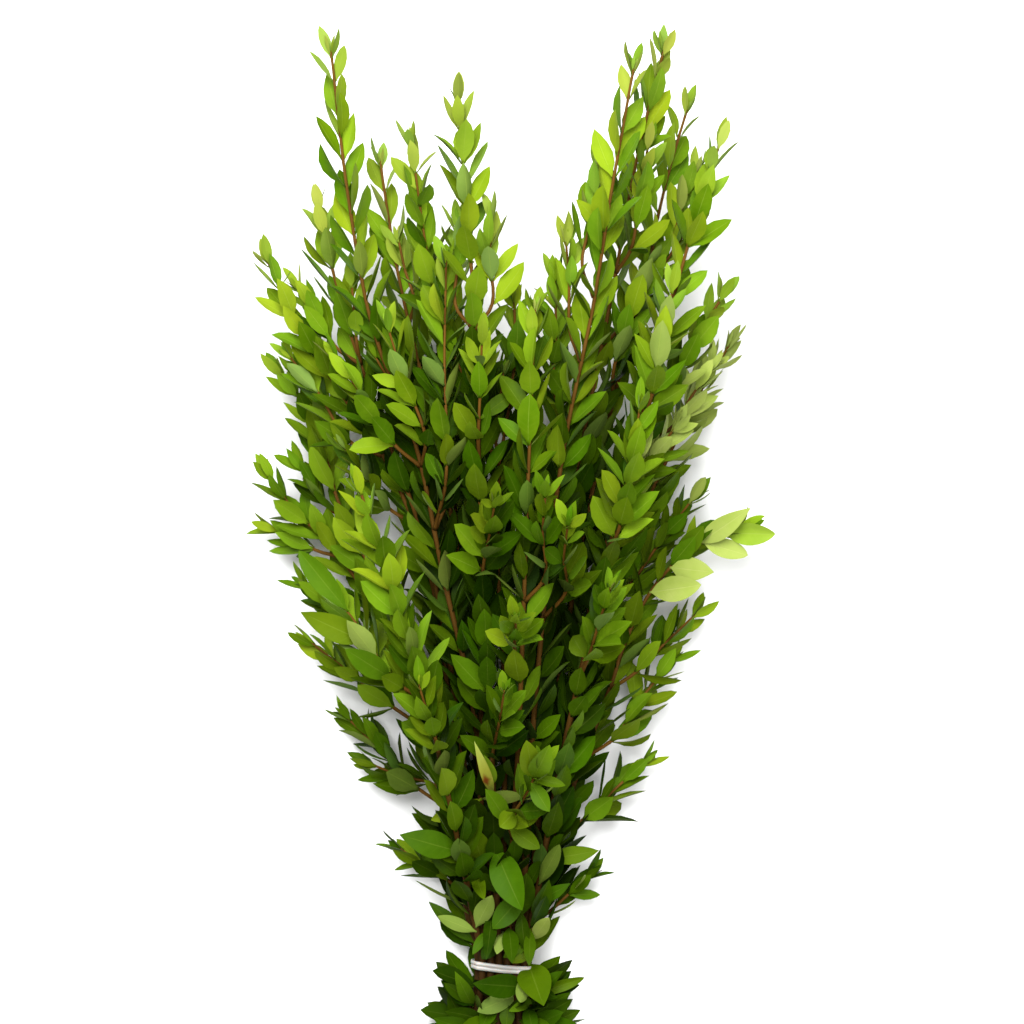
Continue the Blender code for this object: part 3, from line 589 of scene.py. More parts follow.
def elastic_finish():
    finish = Finish("off_white_elastic", Roughness=0.42, Subsurface_Weight=0.35, Subsurface_Scale=0.0015)
    cloudy = finish.noise(finish.place(), *CLOUDS)
    finish.feed(finish.shader.inputs["Base Color"], finish.mix(cloudy, *CLOUDY))
    finish.bump(finish.noise(finish.place(), *RUBBER_SKIN), *RUBBER_RELIEF)
    return finish.material


def add_piece(name, points, faces, materials):
    mesh = bpy.data.meshes.new(name)
    mesh.from_pydata((points + LAID).tolist(), [], faces)
    for material in materials:
        mesh.materials.append(material)
    mesh.shade_smooth()
    piece = bpy.data.objects.new(name, mesh)
    bpy.context.scene.collection.objects.link(piece)
    return piece


centres, outward = band_outline(TIE_GAP + BAND_THICK / 2)
band = carried_round(centres, outward, BAND_SECTION[:, 0] * BAND_WIDTH, BAND_SECTION[:, 1] * BAND_THICK)
obstacles.add(band.reshape(-1, 3),
              tube_quads(*band.shape[:2], closed=True)[:, [[0, 1, 2], [0, 2, 3]]].reshape(-1, 3).tolist())
strands = [elastic_strand(*strand) for strand in STRANDS]
faces = [tube_quads(*rings.shape[:2], closed=True) + k * rings[:, :, 0].size
         for k, rings in enumerate(strands)]
elastic = add_piece("elastic_band", np.concatenate([rings.reshape(-1, 3) for rings in strands]),
                    np.concatenate(faces).tolist(), [elastic_finish()])
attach(elastic, "root")
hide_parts("tie_band")

# The side shoots: thin twigs out of the leaf joints of each stem, bent round towards the light. They
# are soft young wood and carry most of the leaves.

CLEAR = 0.0004
SHOOT_ROOT_HALF = 0.0014
SHOOT_TIP_HALF = 0.0007
SHOOT_LEAVE = (0.66, 0.80)
SHOOT_BEND = 0.20
SHOOT_NEARLY = (0.6, 0.06)
SHOOT_FOOT = 0.0038
SHOOT_BARE = 0.014
SHOOT_TWIST = (0.012, 0.05, 0.8)
SHOOT_SITES_TRIED = 4
SHOOT_STRAY = 0.075
SHOOT_AIMS_TRIED = 6
SHOOT_AIM_STEP = 0.004
SHOOT_LOWEST = 0.006


def side_course(stem, site, facet, tip):
    """A side shoot's line, out of a facet and bent round to its tip."""
    start = stem.facet_centre(site, facet)
    normal = stem.normal(site, facet)
    ahead = stem.frame(site)[1]
    reach = float(np.linalg.norm(tip - start))
    leave = unit(normal * SHOOT_LEAVE[0] + ahead * SHOOT_LEAVE[1])
    bend = start + leave * reach * SHOOT_BEND
    nearly = start + (tip - start) * SHOOT_NEARLY[0] + leave * reach * SHOOT_NEARLY[1]
    return Course([start + leave * SHOOT_FOOT, bend, nearly, tip], np.cross(normal, ahead))


def site_for(stem, tip, length):
    """The stem's sites in the order in which they suit a side shoot of this length."""
    course = stem.course
    distance = np.linalg.norm(course.points - tip, axis=1)
    below_tip = course.arcs < course.arcs[int(distance.argmin())]
    wanted = course.arcs[int(np.where(below_tip, abs(distance - length), np.inf).argmin())]
    near = [site for site in stem.sites if site > stem.tie_arc and abs(site - wanted) < SHOOT_STRAY]
    return sorted(near, key=lambda site: abs(site - wanted))[:SHOOT_SITES_TRIED]


def grow_side_shoot(stem, tip, length, draw, obstacles):
    """Grows a side shoot to its tip or near it, where it clears everything, or gives None."""
    for site in site_for(stem, tip, length):
        toward = tip - stem.course.at(site)[0]
        free = [f for f in range(4) if (site, f) not in stem.borne]
        facet = max(free, key=lambda f: float(stem.normal(site, f) @ toward))
        for k in range(SHOOT_AIMS_TRIED):
            off = np.array([draw.uniform(-1, 1), draw.uniform(-1, 1), draw.uniform(-0.5, 1)])
            aim = tip + off * SHOOT_AIM_STEP * k
            aim[2] = max(aim[2], SHOOT_LOWEST)
            course = side_course(stem, site, facet, aim)
            start, span, most = SHOOT_TWIST
            shoot = Shoot(course, (SHOOT_ROOT_HALF, SHOOT_TIP_HALF),
                          (start, span, draw.uniform(-most, most)))
            shoot.sites = pair_sites(course.length, SHOOT_BARE, PAIR_GAP_MOST["shoot"])
            shoot.rings = lay_rings([0.0], shoot.sites)
            shoot.root_loop = stem.root_quad(site, facet)
            boxes = shoot.boxes(CLEAR)
            foot = np.vstack([shoot.root_loop, boxes[0][:4]])
            clear = not any(obstacles.hit(box, BOX_FACES) for box in boxes)
            clear = clear and not obstacles.hit(foot, BOX_FACES, stem.segments)
            if clear and min(box[:, 2].min() for box in boxes) > MM:
                shoot.stand_in(obstacles)
                stem.borne[(site, facet)] = shoot
                return shoot
    return None


for name, (*_, tips) in plans.items():
    for x, y, z, length in tips:
        tip = np.array([x, y - TIP_LEAVES / MM, z]) * MM
        shoot = grow_side_shoot(branches[name][0], tip, length * MM, draw, obstacles)
        if shoot is not None:
            branches[name].append(shoot)

# The leaves of the plain solids: opposite pairs on very short stalks, each pair turned a quarter from
# the last. They are placed from the top row down, and each takes the first pose that clears the rest.

# Leaves: sizes, lean from the stem in degrees, and how far each draw goes either way.
LEAF_LENGTH = 0.034
YOUNG_LENGTH = 0.021
GROWN_AFTER = 0.05
LEAF_WIDTH = 0.44
LEAF_HALF_THICK = 0.0003
LEAF_CUTS = ((0.34, 1.0), (0.70, 0.62))
LARGE_LEAF = 0.0347
LEAN_YOUNG = 14
LEAN_GROWN = 29
LEAN_HUGGING = 16
LEAN_BELOW = 62
LEAN_LIMITS = (0.2, 1.75)
LEAN_DRAW = (-8, 12)
LEAN_DRAW_BELOW = (-24, 34)
HEADING_DRAW = 20
ROLL_DRAW = 20
CURL_DRAW = (-20, 12)
CURL_LOOSE = 1.8
LENGTH_DRAW = (0.88, 1.06)
WIDTH_DRAW = (0.92, 1.10)
TOWARD_LIGHT = 0.8
TOWARD_LIGHT_BELOW = 0.9
TOWARD_MOST = 1.4
TOWARD_DRAW = (0.4, 1.6)
LEAF_TRIES = 30
LOOSER = 0.11
NECK = 0.07
TWIST_LIMIT = 0.5


def blade_faces(root, first, sections):
    """Triangles from a leaf's root corners over its sections to the two points of its tip."""
    faces = []
    loop = root
    for k in range(sections):
        ring = tuple(first + 4 * k + j for j in range(4))
        faces += strip(loop, ring)
        loop = ring
    a, b, c, d = loop
    low, high = first + 4 * sections, first + 4 * sections + 1
    return faces + [(a, b, low), (b, c, high), (b, high, low), (c, d, high), (d, a, low), (d, low, high)]
CLOSED_BLADE = {n: [(0, 2, 1), (0, 3, 2)] + blade_faces((0, 1, 2, 3), 4, n) for n in (0, 1, 2)}


def blade(root, ahead, up, length, width, curl, sections, fat=0.0):
    """Corners of a leaf beyond its root: flat sections along an arc, then the two of its tip.

    The midline leaves along ahead and turns away from up by curl over its length. fat grows the
    blade all round, to test what it clears."""
    across = np.cross(up, ahead)
    points = []
    for t, wide in LEAF_CUTS[:sections] + ((1.0, 0.0),):
        a = curl * t
        reach, fall = (math.sin(a) / curl, (1 - math.cos(a)) / curl) if abs(curl) > 1e-4 else (t, 0)
        centre = root + ahead * (reach * length) - up * (fall * length)
        half = (up * math.cos(a) + ahead * math.sin(a)) * (LEAF_HALF_THICK + fat)
        if wide:
            side = across * (width / 2 * wide + fat)
            points += [centre - side - half, centre + side - half, centre + side + half,
                       centre - side + half]
        else:
            end = (ahead * math.cos(a) - up * math.sin(a)) * fat
            points += [centre - half + end, centre + half + end]
    return np.array(points)


def leaf_pose(shoot, site, facet, loose, draw, to_light=TOWARD_LIGHT):
    """A leaf's direction, upper side, length, width and curl. loose widens the draws."""
    centre, ahead, _, _ = shoot.frame(site)
    normal = shoot.normal(site, facet)
    age = min(1.0, (shoot.course.length - site) / GROWN_AFTER)
    lean = LEAN_YOUNG + (LEAN_GROWN - LEAN_YOUNG) * age
    light = to_light * abs(float(normal[0]))
    lean_draw = LEAN_DRAW
    if site in shoot.crowded:
        lean = LEAN_HUGGING
    if centre[1] < 0:
        lean = LEAN_BELOW
        sideways = ACROSS * math.copysign(1, centre[0] + draw.uniform(-MM, MM))
        if normal[2] > 0.5:
            normal = unit(normal * 0.5 + sideways)
        light = TOWARD_LIGHT_BELOW
        lean_draw = LEAN_DRAW_BELOW
    angle = math.radians(lean + draw.uniform(*lean_draw) * loose)
    angle = min(max(angle, LEAN_LIMITS[0]), LEAN_LIMITS[1])
    heading = turned(normal, ahead, math.radians(draw.uniform(-HEADING_DRAW, HEADING_DRAW)) * loose)
    out = unit(ahead * math.cos(angle) + heading * math.sin(angle))
    up = unit(ahead * math.sin(angle) - heading * math.cos(angle))
    sky = UPWARD - out * out[2]
    toward = math.atan2(float(np.cross(up, sky) @ out), float(up @ sky))
    toward = min(max(toward, -TOWARD_MOST), TOWARD_MOST) * light * draw.uniform(*TOWARD_DRAW)
    up = turned(up, out, toward + math.radians(draw.uniform(-ROLL_DRAW, ROLL_DRAW)) * loose)
    curl = math.radians(draw.uniform(*CURL_DRAW)) * min(loose, CURL_LOOSE)
    length = YOUNG_LENGTH + (LEAF_LENGTH - YOUNG_LENGTH) * age
    length *= draw.uniform(*LENGTH_DRAW) * (1.1 - 0.1 * loose)
    width = length * LEAF_WIDTH * draw.uniform(*WIDTH_DRAW) * (0.8 + 0.2 * age)
    return out, up, length, width, curl


def grow_leaf(shoot, site, facet, large, draw, obstacles):
    """Raises a leaf in the first pose that clears everything, or gives False."""
    root = shoot.facet_centre(site, facet)
    loop = shoot.root_quad(site, facet)
    right = unit(loop[1] - loop[0])
    k = next(k for k, ring in enumerate(shoot.rings) if ring >= site)
    beside = shoot.segments[max(0, k - 2):k + 1]
    for attempt in range(LEAF_TRIES):
        out, up, length, width, curl = leaf_pose(shoot, site, facet, 1 + attempt * LOOSER, draw)
        sections = 2 if large and length > LARGE_LEAF else 1
        pose = (root, out, up, length, width, curl, sections)
        points = blade(*pose, fat=CLEAR)
        if float(np.cross(up, out) @ right) < TWIST_LIMIT or points[:, 2].min() < CLEAR:
            continue
        if obstacles.hit(np.vstack([loop, points]), CLOSED_BLADE[sections], beside):
            continue
        solid = blade(*pose)
        neck = loop + (solid[:4] - loop) * NECK
        if obstacles.hit(np.vstack([neck, solid]), CLOSED_BLADE[sections]):
            continue
        obstacles.add(np.vstack([loop, solid]), CLOSED_BLADE[sections])
        shoot.borne[(site, facet)] = pose
        return True
    return False


def grow_leaves(branches, draw, obstacles):
    """Leaves from the top row down, and in each row from the tips back."""
    for row in ("upper", "middle", "lower"):
        group = [shoot for name, shoots in branches.items() if name.startswith(row) for shoot in shoots]
        waiting = [(k, shoot, site) for shoot in group for k, site in enumerate(shoot.sites[::-1])]
        for k, shoot, site in sorted(waiting, key=lambda entry: entry[0]):
            facets = range(4) if site in shoot.crowded else ((0, 2), (1, 3))[k % 2]
            for facet in facets:
                if (site, facet) not in shoot.borne:
                    grow_leaf(shoot, site, facet, row == "upper", draw, obstacles)


grow_leaves(branches, draw, obstacles)

# Every other leaf: the pairs between those, the small new leaves at each tip, and those pressed round
# the bundle at the tie. Each takes the pose, out of a few, that meets the fewest leaves around it.

STALK_SHARE = 0.06
STALK_HALF = 0.0007
OUTLINE_ROOT = 0.80
CUP_POWER = 1.4
CUP_LEAN = 1.2
WAVES = 9
# How far each leaf's own cup, tip curl, twist, wave, wave's phase and outline at the tip are drawn.
OWN_SHAPE = ((0.10, 0.45), (-0.30, 0.26), (-0.35, 0.35), (-0.05, 0.05), (0, 6), (0.72, 1.08))

FILL_ALONG = np.linspace(0.1, 1, 26)
FILL_ACROSS = np.linspace(-1, 1, 13)
TEST_ALONG = np.linspace(0.2, 1, 13)
TEST_ACROSS = np.linspace(-1, 1, 7)
DEEP_STEPS = (2, 26)


def leaf_outline(along, taper):
    """Half width as a share of the widest: a power of the way along times a power of the way left."""
    s = np.clip((along - STALK_SHARE) / (1 - STALK_SHARE), 0, 1)
    widest = OUTLINE_ROOT / (OUTLINE_ROOT + taper)
    return s**OUTLINE_ROOT * (1 - s) ** taper / (widest**OUTLINE_ROOT * (1 - widest) ** taper)


class Blades:
    """Leaves as rows of numbers, one row a leaf, so that all their surfaces are worked out at once."""

    FINE = 24

    def __init__(self, poses, seed=SEED):
        """poses are (root, ahead, up, length, width, curl, age, tint, pale); the age may carry painted
        shade.
        """
        draw = random.Random(seed)
        self.root, self.ahead, self.up = (np.array([pose[k] for pose in poses]) for k in range(3))
        numbers = np.array([pose[3:9] for pose in poses], float).reshape(-1, 6).T
        self.length, self.width, self.curl, self.age, self.tint, self.pale = numbers
        self.across = np.cross(self.up, self.ahead)
        shape = np.array([[draw.uniform(*limits) for limits in OWN_SHAPE] for _ in poses]).T
        self.cup, self.tip_curl, self.twist, self.wave, self.phase, self.taper = shape

    def surface(self, along, across):
        """Middle points and upper normals of each blade at the given shares along and across it.

        The midline turns away from the upper side by curl over its length and by tip_curl more near
        the tip. Both halves rise from the midrib by cup, and the edges swing by wave."""
        fine = (np.arange(self.FINE) + 0.5) / self.FINE
        angle = self.curl[:, None] * fine + self.tip_curl[:, None] * fine**3
        at = np.clip(along * self.FINE, 0, self.FINE) - 1
        step = np.clip(at, 0, None).astype(int)
        nearer = np.clip(step + 1, 0, self.FINE - 1)
        before, past = np.clip(at - step, -1, 0), np.clip(at - step, 0, 1)
        sums = (np.cumsum(part, axis=1) / self.FINE for part in (np.cos(angle), np.sin(angle)))
        reach, fall = (total[:, step] + (total[:, nearer] - total[:, step]) * past for total in sums)
        reach = reach + before / self.FINE
        angle = self.curl[:, None] * along + self.tip_curl[:, None] * along**3
        ahead, up, side = self.ahead[:, None], self.up[:, None], self.across[:, None]
        length = self.length[:, None, None]
        middle = self.root[:, None] + length * (ahead * reach[:, :, None] - up * fall[:, :, None])
        rise = up * np.cos(angle)[:, :, None] + ahead * np.sin(angle)[:, :, None]
        roll = (self.twist[:, None] * along)[:, :, None]
        side, rise = side * np.cos(roll) + rise * np.sin(roll), rise * np.cos(roll) - side * np.sin(roll)
        half = self.width[:, None] / 2 * leaf_outline(along, self.taper[:, None])
        half = np.maximum(half, STALK_HALF * (1 - along))
        out = half[:, :, None] * across
        swing = self.wave[:, None] * np.sin(WAVES * along + self.phase[:, None])
        lift = (self.cup[:, None] + swing)[:, :, None] * half[:, :, None] * abs(across) ** CUP_POWER
        points = middle[:, :, None] + side[:, :, None] * out[..., None] + rise[:, :, None] * lift[..., None]
        lean = (self.cup[:, None, None] * np.sign(across) * CUP_LEAN)[..., None]
        normal = rise[:, :, None] - side[:, :, None] * lean
        return points, normal / np.linalg.norm(normal, axis=-1)[..., None]


def filled(poses):
    """Points all over the leaves in these poses, as close as the cubes of the room."""
    return Blades(poses).surface(FILL_ALONG, FILL_ACROSS)[0]


def tested(poses):
    """Points over the leaves in these poses, enough to see what they meet."""
    return Blades(poses).surface(TEST_ALONG, TEST_ACROSS)[0]


class Room:
    """The space round the bunch in small cubes, each free or taken."""

    CUBE = 0.0015

    def __init__(self, low, high):
        self.low = low
        self.taken = np.zeros(np.ceil((high - low) / self.CUBE).astype(int) + 1, bool)
        self.kept_open = np.zeros_like(self.taken)

    def cubes(self, points):
        index = ((points - self.low) / self.CUBE).astype(int)
        return tuple(np.moveaxis(np.clip(index, 0, np.array(self.taken.shape) - 1), -1, 0))

    def share_taken(self, points):
        cubes = self.cubes(points)
        return (self.taken[cubes] | self.kept_open[cubes]).mean(axis=(1, 2))

    def take(self, points):
        self.taken[self.cubes(points)] = True

    def share_covered(self, points):
        """The share of each leaf's points with something above them."""
        x, y, z = self.cubes(points)
        above = np.arange(self.taken.shape[2]) > z[..., None] + 1
        return (self.taken[x, y] & above).any(axis=-1).mean(axis=(1, 2))

    def keep_open(self, points):
        """Keeps the cubes above the points free of what grows later, so that the points stay in sight."""
        x, y, z = self.cubes(points)
        np.logical_or.at(self.kept_open, (x, y), np.arange(self.taken.shape[2]) > z[..., None])

    def enclosed(self, points):
        """Cubes taken near each leaf, on the least crowded of its upper, lower, left and right sides."""
        index = np.stack(self.cubes(points), axis=-1)
        counts = []
        for axis in (0, 2):
            total = np.cumsum(self.taken, axis=axis, dtype=np.int16)
            for sense in (-1, 1):
                ends = []
                for step in DEEP_STEPS:
                    moved = index.copy()
                    shifted = moved[..., axis] + sense * step
                    moved[..., axis] = np.clip(shifted, 0, self.taken.shape[axis] - 1)
                    ends.append(total[tuple(np.moveaxis(moved, -1, 0))])
                counts.append(abs(ends[1] - ends[0]).mean(axis=(1, 2)))
        return np.min(counts, axis=0)


BARK_FILL = 0.0012
EXTRA_TRIES = 9
LOOSE_FIRST = 0.9
LOOSE_STEP = 0.22
MEETS_MOST = 0.03
FLOOR_CLEAR = 0.0008
ROOM_MARGIN = 0.02

YOUNG_STRETCH = 0.06
OLD_STRETCH = 0.26
OLD_SHARE = 0.3
TURNED_OVER = 0.86
SLENDER = 0.93

# The leaves between turn less to the light than the first ones, so more are seen edge on.
TOWARD_LIGHT_BETWEEN = 0.35

GREEN_SEED = 5
greens = random.Random(GREEN_SEED)
floor_height = -LAID[2]


def shown_pose(pose, age):
    """A leaf's pose turned so that its green side mostly looks up, with its age and tint."""
    root, ahead, up, length, width, curl = pose[:6]
    if up[2] < 0 and greens.random() < TURNED_OVER:
        up, curl = -up, -curl
    return root, ahead, up, length, width * SLENDER, curl, age, greens.random(), 0


def age_at(shoot, site):
    """0 for the newest leaves of a shoot, 1 for grown ones, and a little more for the oldest."""
    from_tip = shoot.course.length - site
    old = min(1.0, max(0.0, from_tip - YOUNG_STRETCH) / OLD_STRETCH)
    return min(1.0, from_tip / YOUNG_STRETCH) + old * OLD_SHARE


room = Room(np.array(cad_low) - LAID - ROOM_MARGIN, np.array(cad_high) - LAID + ROOM_MARGIN)
for rings in strands:
    room.take(rings)
    room.take((rings + np.roll(rings, 1, axis=0)) / 2)
leaves = {}
for name, shoots in branches.items():
    leaves[name] = [shown_pose(pose, age_at(shoot, site)) for shoot in shoots
                    for (site, _), pose in shoot.borne.items() if not isinstance(pose, Shoot)]
    room.take(filled(leaves[name]))
    for shoot in shoots:
        arcs = np.arange(0, shoot.course.length, BARK_FILL)
        room.take(np.array([np.vstack([shoot.ring(arc), shoot.course.at(arc)[0]]) for arc in arcs]))


def add_leaf(name, shoot, site, facet, shrink):
    """Adds a leaf in the pose, out of a few, that meets the least, unless that still meets too much."""
    poses = []
    for attempt in range(EXTRA_TRIES):
        out, up, length, width, curl = leaf_pose(shoot, site, facet, LOOSE_FIRST + attempt * LOOSE_STEP,
                                                 draw, TOWARD_LIGHT_BETWEEN)
        pose = (shoot.facet_centre(site, facet), out, up, length * shrink, width * shrink, curl)
        poses.append(shown_pose(pose, age_at(shoot, site)))
    points = tested(poses)
    meets = room.share_taken(points)
    meets[points[..., 2].min(axis=(1, 2)) < floor_height + FLOOR_CLEAR] = 1
    best = int(meets.argmin())
    if meets[best] <= MEETS_MOST:
        leaves[name].append(poses[best])
        room.take(filled([poses[best]]))


# The striking leaves, given one by one: from the bark nearest to a place (across, along), to a tip (across,
# along, above the root), all in millimetres. Then the width, the curl in degrees, the age and the tint,
# and for some how pale the leaf is, its roll in degrees, and whether its green side is up.
HAND_SET = (
    # Round the tie, from the waist down to the cut ends.
    ((-23, 14), (-49, 44, 2), 10, 15, 2.0, 0.4),
    ((-3, 80), (13, 40, 5), 21, 45, 1.95, 0.735),
    ((-18, 28), (-7, 50, 9), 12.5, 12, 1.35, 0.4, 0.25, 0, False),
    ((-18, 24), (-43, 35, 2), 9, 20, 1.35, 0.4, 0.1, 0, False),
    ((-11, 27), (-20, 10, 2), 6.5, 10, 2.0, 0.9),
    ((0, 24), (-4, 12, 4), 8, 10, 1.2, 0.6, 0.4, 0, False),
    ((16, 16), (0, 8, 3), 8, 20, 1.85, 0.9),
    ((21, 10), (6, 5, 2), 6, 15, 1.7, 0.8),
    ((21, 17), (30, 35, 5), 10, 10, 1.3, 0.8, 0.3, 0, False),
    ((28, 31), (48, 44, 0), 8, 20, 1.5, 0.4, 0.3, 78),
    ((-38, 40), (-58, 58, 0), 8, -20, 1.5, 0.4, 0.3, 78),
    ((-9, 40), (-11, 8, 1), 9, 25, 2.0, 0.1, 0, -15),
    ((3, 27), (6, 6, 1), 11, 25, 2.0, 0.4, 0, -10),
    ((13, 38), (15, 12, 1), 10, 25, 2.0, 0.2, 0, 15),
    ((-2, 20), (-14, 7, 1), 10, 20, 2.0, 0.1),
    ((20, 26), (17, 4, 2), 8, 15, 2.0, 0.5),
    ((14, 50), (-7, 27, 2), 15, 30, 2.0, 0.6),
    ((-20, 67), (-39, 69, 2), 14, 25, 1.95, 0.6),
    ((-20, 67), (-12, 48, 5), 9, 15, 1.9, 0.8),
    ((-15, 70), (-20, 95, 6), 16, 15, 1.85, 0.8),
    ((-41, 49), (-48, 71, 0), 8, 10, 1.8, 0.5),
    ((42, 72), (63, 78, 2), 12, 15, 1.7, 0.7),
    ((23, 43), (44, 57, 0), 9, 15, 2.0, 0.6),
    ((40, 58), (53, 63, 1), 7, 12, 1.5, 0.5, 0.3, 70),
    ((21, 56), (37, 84, 5), 10, 25, 1.85, 0.5, 0, 0, False),
    ((4, 96), (24, 82, 4), 12, 25, 1.9, 0.8),
    ((-36, 78), (-67, 91, 4), 18, 20, 1.95, 0.6),
    ((14, -10), (-21, -6, 2), 17, 25, 2.0, 0.37),
    ((13, -16), (-17, -26, 7), 12, -25, 1.3, 0.6, 0.1, 0, False),
    ((18, -4), (11, -20, 3), 10, 15, 1.4, 0.4, 0.1, 0, False),
    ((22, 4), (27, -23, 3), 22, 35, 1.95, 0.72),
    ((24, -18), (4, -25, 4), 7, 20, 1.6, 0.6),
    ((24, -17), (54, -6, 2), 8, 15, 1.9, 0.8),
    ((24, -27), (45, -15, 1), 7, 12, 2.0, 0.4),
    ((-22, -26), (-31, 0, 4), 10, 20, 1.75, 0.6),
    ((-24, -21), (-38, -7, 1), 9, 15, 1.95, 0.4),
    ((-6, -22), (-14, -38, 4), 11, 20, 2.0, 0.6),
    ((4, -24), (2, -40, 3), 10, 20, 2.0, 0.5),
    ((16, -24), (20, -42, 3), 10, 20, 2.0, 0.3),
    # One yellowed with a brown spot, and the fresh green ones of the shoots beside it.
    ((-7, 116), (-18, 152, 20), 7, 30, 1.2, 0.5, 2),
    ((-16, 114), (17, 117, 5), 9, 15, 1.6, 0.5, 0.05, 0, False),
    ((-19, 112), (-47, 99, 5), 11, 20, 1.3, 0.8),
    ((-4, 123), (-12, 143, 8), 10, 15, 0.9, 0.9),
    ((3, 110), (-2, 97, 6), 13, 15, 1.75, 0.8),
    ((5, 102), (17, 97, 5), 9, 10, 1.7, 0.8),
    ((22, 128), (15, 155, 6), 14, 20, 1.65, 0.8),
    ((22, 128), (29, 151, 4), 14, 20, 1.65, 0.9),
    ((18, 126), (30, 108, 6), 11, 25, 1.8, 0.6),
    ((25, 127), (40, 125, 2), 7, 15, 1.8, 0.7),
    # The broad ones at the bunch's left edge.
    ((-91, 243), (-130, 275, 6), 15, 20, 1.75, 0.735),
    ((-80, 220), (-129, 236, 6), 17, 20, 1.75, 0.8),
    ((-81, 184), (-99, 213, 5), 15, 20, 1.75, 0.735),
    # The pale sprig at the bunch's right edge.
    ((126, 279), (161, 302, 9), 14, 25, 1.0, 0.9, 0.9),
    ((128, 281), (160, 271, 5), 13, 20, 1.0, 0.6, 0.95),
    ((108, 266), (138, 260, 6), 16, 15, 1.0, 0.5, 1.0),
    ((92, 251), (129, 252, 8), 17, 15, 1.0, 0.5, 1.0),
    ((145, 285), (177, 285, 6), 15, 12, 1.0, 0.9, 0.25),
    ((112, 268), (131, 291, -4), 13, 10, 1.6, 0.4),
)

LIFTS = np.arange(0, 32, 4) * MM
LIFT_COST = 0.02
TAKEN_COST = 3
UPPER_FIRST = 0.15
BARK_FROM = 0.004
BARK_EVERY = 0.003
bark_places = [(name, shoot, arc, shoot.course.at(arc)[0]) for name, shoots in branches.items()
               for shoot in shoots for arc in np.arange(BARK_FROM, shoot.course.length, BARK_EVERY)]
bark_points = np.array([point for *_, point in bark_places])
hand_set = {name: [] for name in branches}


def posed_leaf(root, tip, width, curl, age, tint, pale=0, roll=0, green_up=True):
    """Adds a listed leaf. Its tip stands higher by as much as clears what grows there."""
    away = np.hypot(*(bark_points[:, :2] - np.array(root) * MM).T) - UPPER_FIRST * bark_points[:, 2]
    name, bearer, arc, _ = bark_places[int(away.argmin())]
    facet = max(range(4), key=lambda f: float(bearer.normal(arc, f)[2]))
    foot = bearer.facet_centre(arc, facet)
    half = math.radians(curl) / 2
    turn = 1 if green_up else -1
    poses = []
    for lift in LIFTS:
        reach = np.array([tip[0] * MM - foot[0], tip[1] * MM - foot[1], tip[2] * MM + lift])
        chord = unit(reach)
        rise = unit(UPWARD - chord * chord[2])
        ahead = turned(chord * math.cos(half) + rise * math.sin(half), chord, math.radians(roll))
        up = turned(rise * math.cos(half) - chord * math.sin(half), chord, math.radians(roll))
        poses.append((foot, ahead, up * turn, float(np.linalg.norm(reach)), width * MM,
                      math.radians(curl) * turn, age, tint, pale))
    points = tested(poses)
    cost = room.share_taken(points) * TAKEN_COST + room.share_covered(points)
    best = int((cost + LIFT_COST * np.arange(len(poses))).argmin())
    hand_set[name].append(poses[best])
    room.take(filled([poses[best]]))


for row in HAND_SET:
    posed_leaf(*row)

# What grows later leaves the elastic and the palest of these leaves in sight.
TIE_ACROSS = (-0.026, 0.022)
TIE_ALONG = (-0.005, 0.009)

room.keep_open(filled([row for rows in hand_set.values() for row in rows if row[8] > 0]))
across, along = np.meshgrid(np.arange(*TIE_ACROSS, MM), np.arange(*TIE_ALONG, MM))
room.keep_open(np.stack([across, along, np.full_like(across, TIE_HEIGHT)], axis=-1))

JOINT_GAP = {"stem": 0.0165, "shoot": 0.0135}
PRESSED_STRETCH = (-0.044, 0.10)
PRESSED_GAP = 0.0115
PRESSED_CLEAR = 0.006
PRESSED_STRAY = (-0.4, 0.4)
SINGLE_PAIRS_BETWEEN = 0.40
SINGLE_PAIRS = 0.48
SHRUNK = 0.9
# Each crossed pair of a tip bud: how far back it sits, its length, and its quarter turn.
BUD_PAIRS = ((0.0016, 0.012, 1), (0.0004, 0.0085, 0))
BUD_WIDTH = 0.30
BUD_LEAN = (5, 20)
BUD_CURL = (-0.2, 0.3)
BUD_LENGTH = (0.8, 1.2)


def joints_between(shoot):
    """Where further leaf pairs grow: evenly between the sites that bear leaves already."""
    pitch = JOINT_GAP["stem" if shoot.tie_arc is not None else "shoot"]
    ends = [0.0 if shoot.tie_arc is None else shoot.tie_arc + TIE_STRAIGHT] + [
        site for site in shoot.sites if shoot.tie_arc is None or site > shoot.tie_arc]
    joints = []
    for low, high in zip(ends[:-1], ends[1:]):
        count = max(0, round((high - low) / pitch) - 1)
        joints += [low + (high - low) * (k + 1) / (count + 1) for k in range(count)]
    return joints


def joints_at_tie(shoot):
    """Close joints on a stem's stretch beside the tie, whose leaves lie pressed along the bundle."""
    if shoot.tie_arc is None:
        return []
    steps = [step for step in np.arange(*PRESSED_STRETCH, PRESSED_GAP) if abs(step) > PRESSED_CLEAR]
    joints = [shoot.tie_arc + step + draw.uniform(*PRESSED_STRAY) * PRESSED_GAP for step in steps]
    shoot.crowded |= set(joints)
    return joints


def facets_used(shoot, site, number, single_from):
    """Both pairs of a joint, or far from the tie a single pair, turned a quarter each time."""
    apart = shoot.course.at(site)[0][1] > single_from
    return range(number % 2, 4, 2) if apart else range(4)


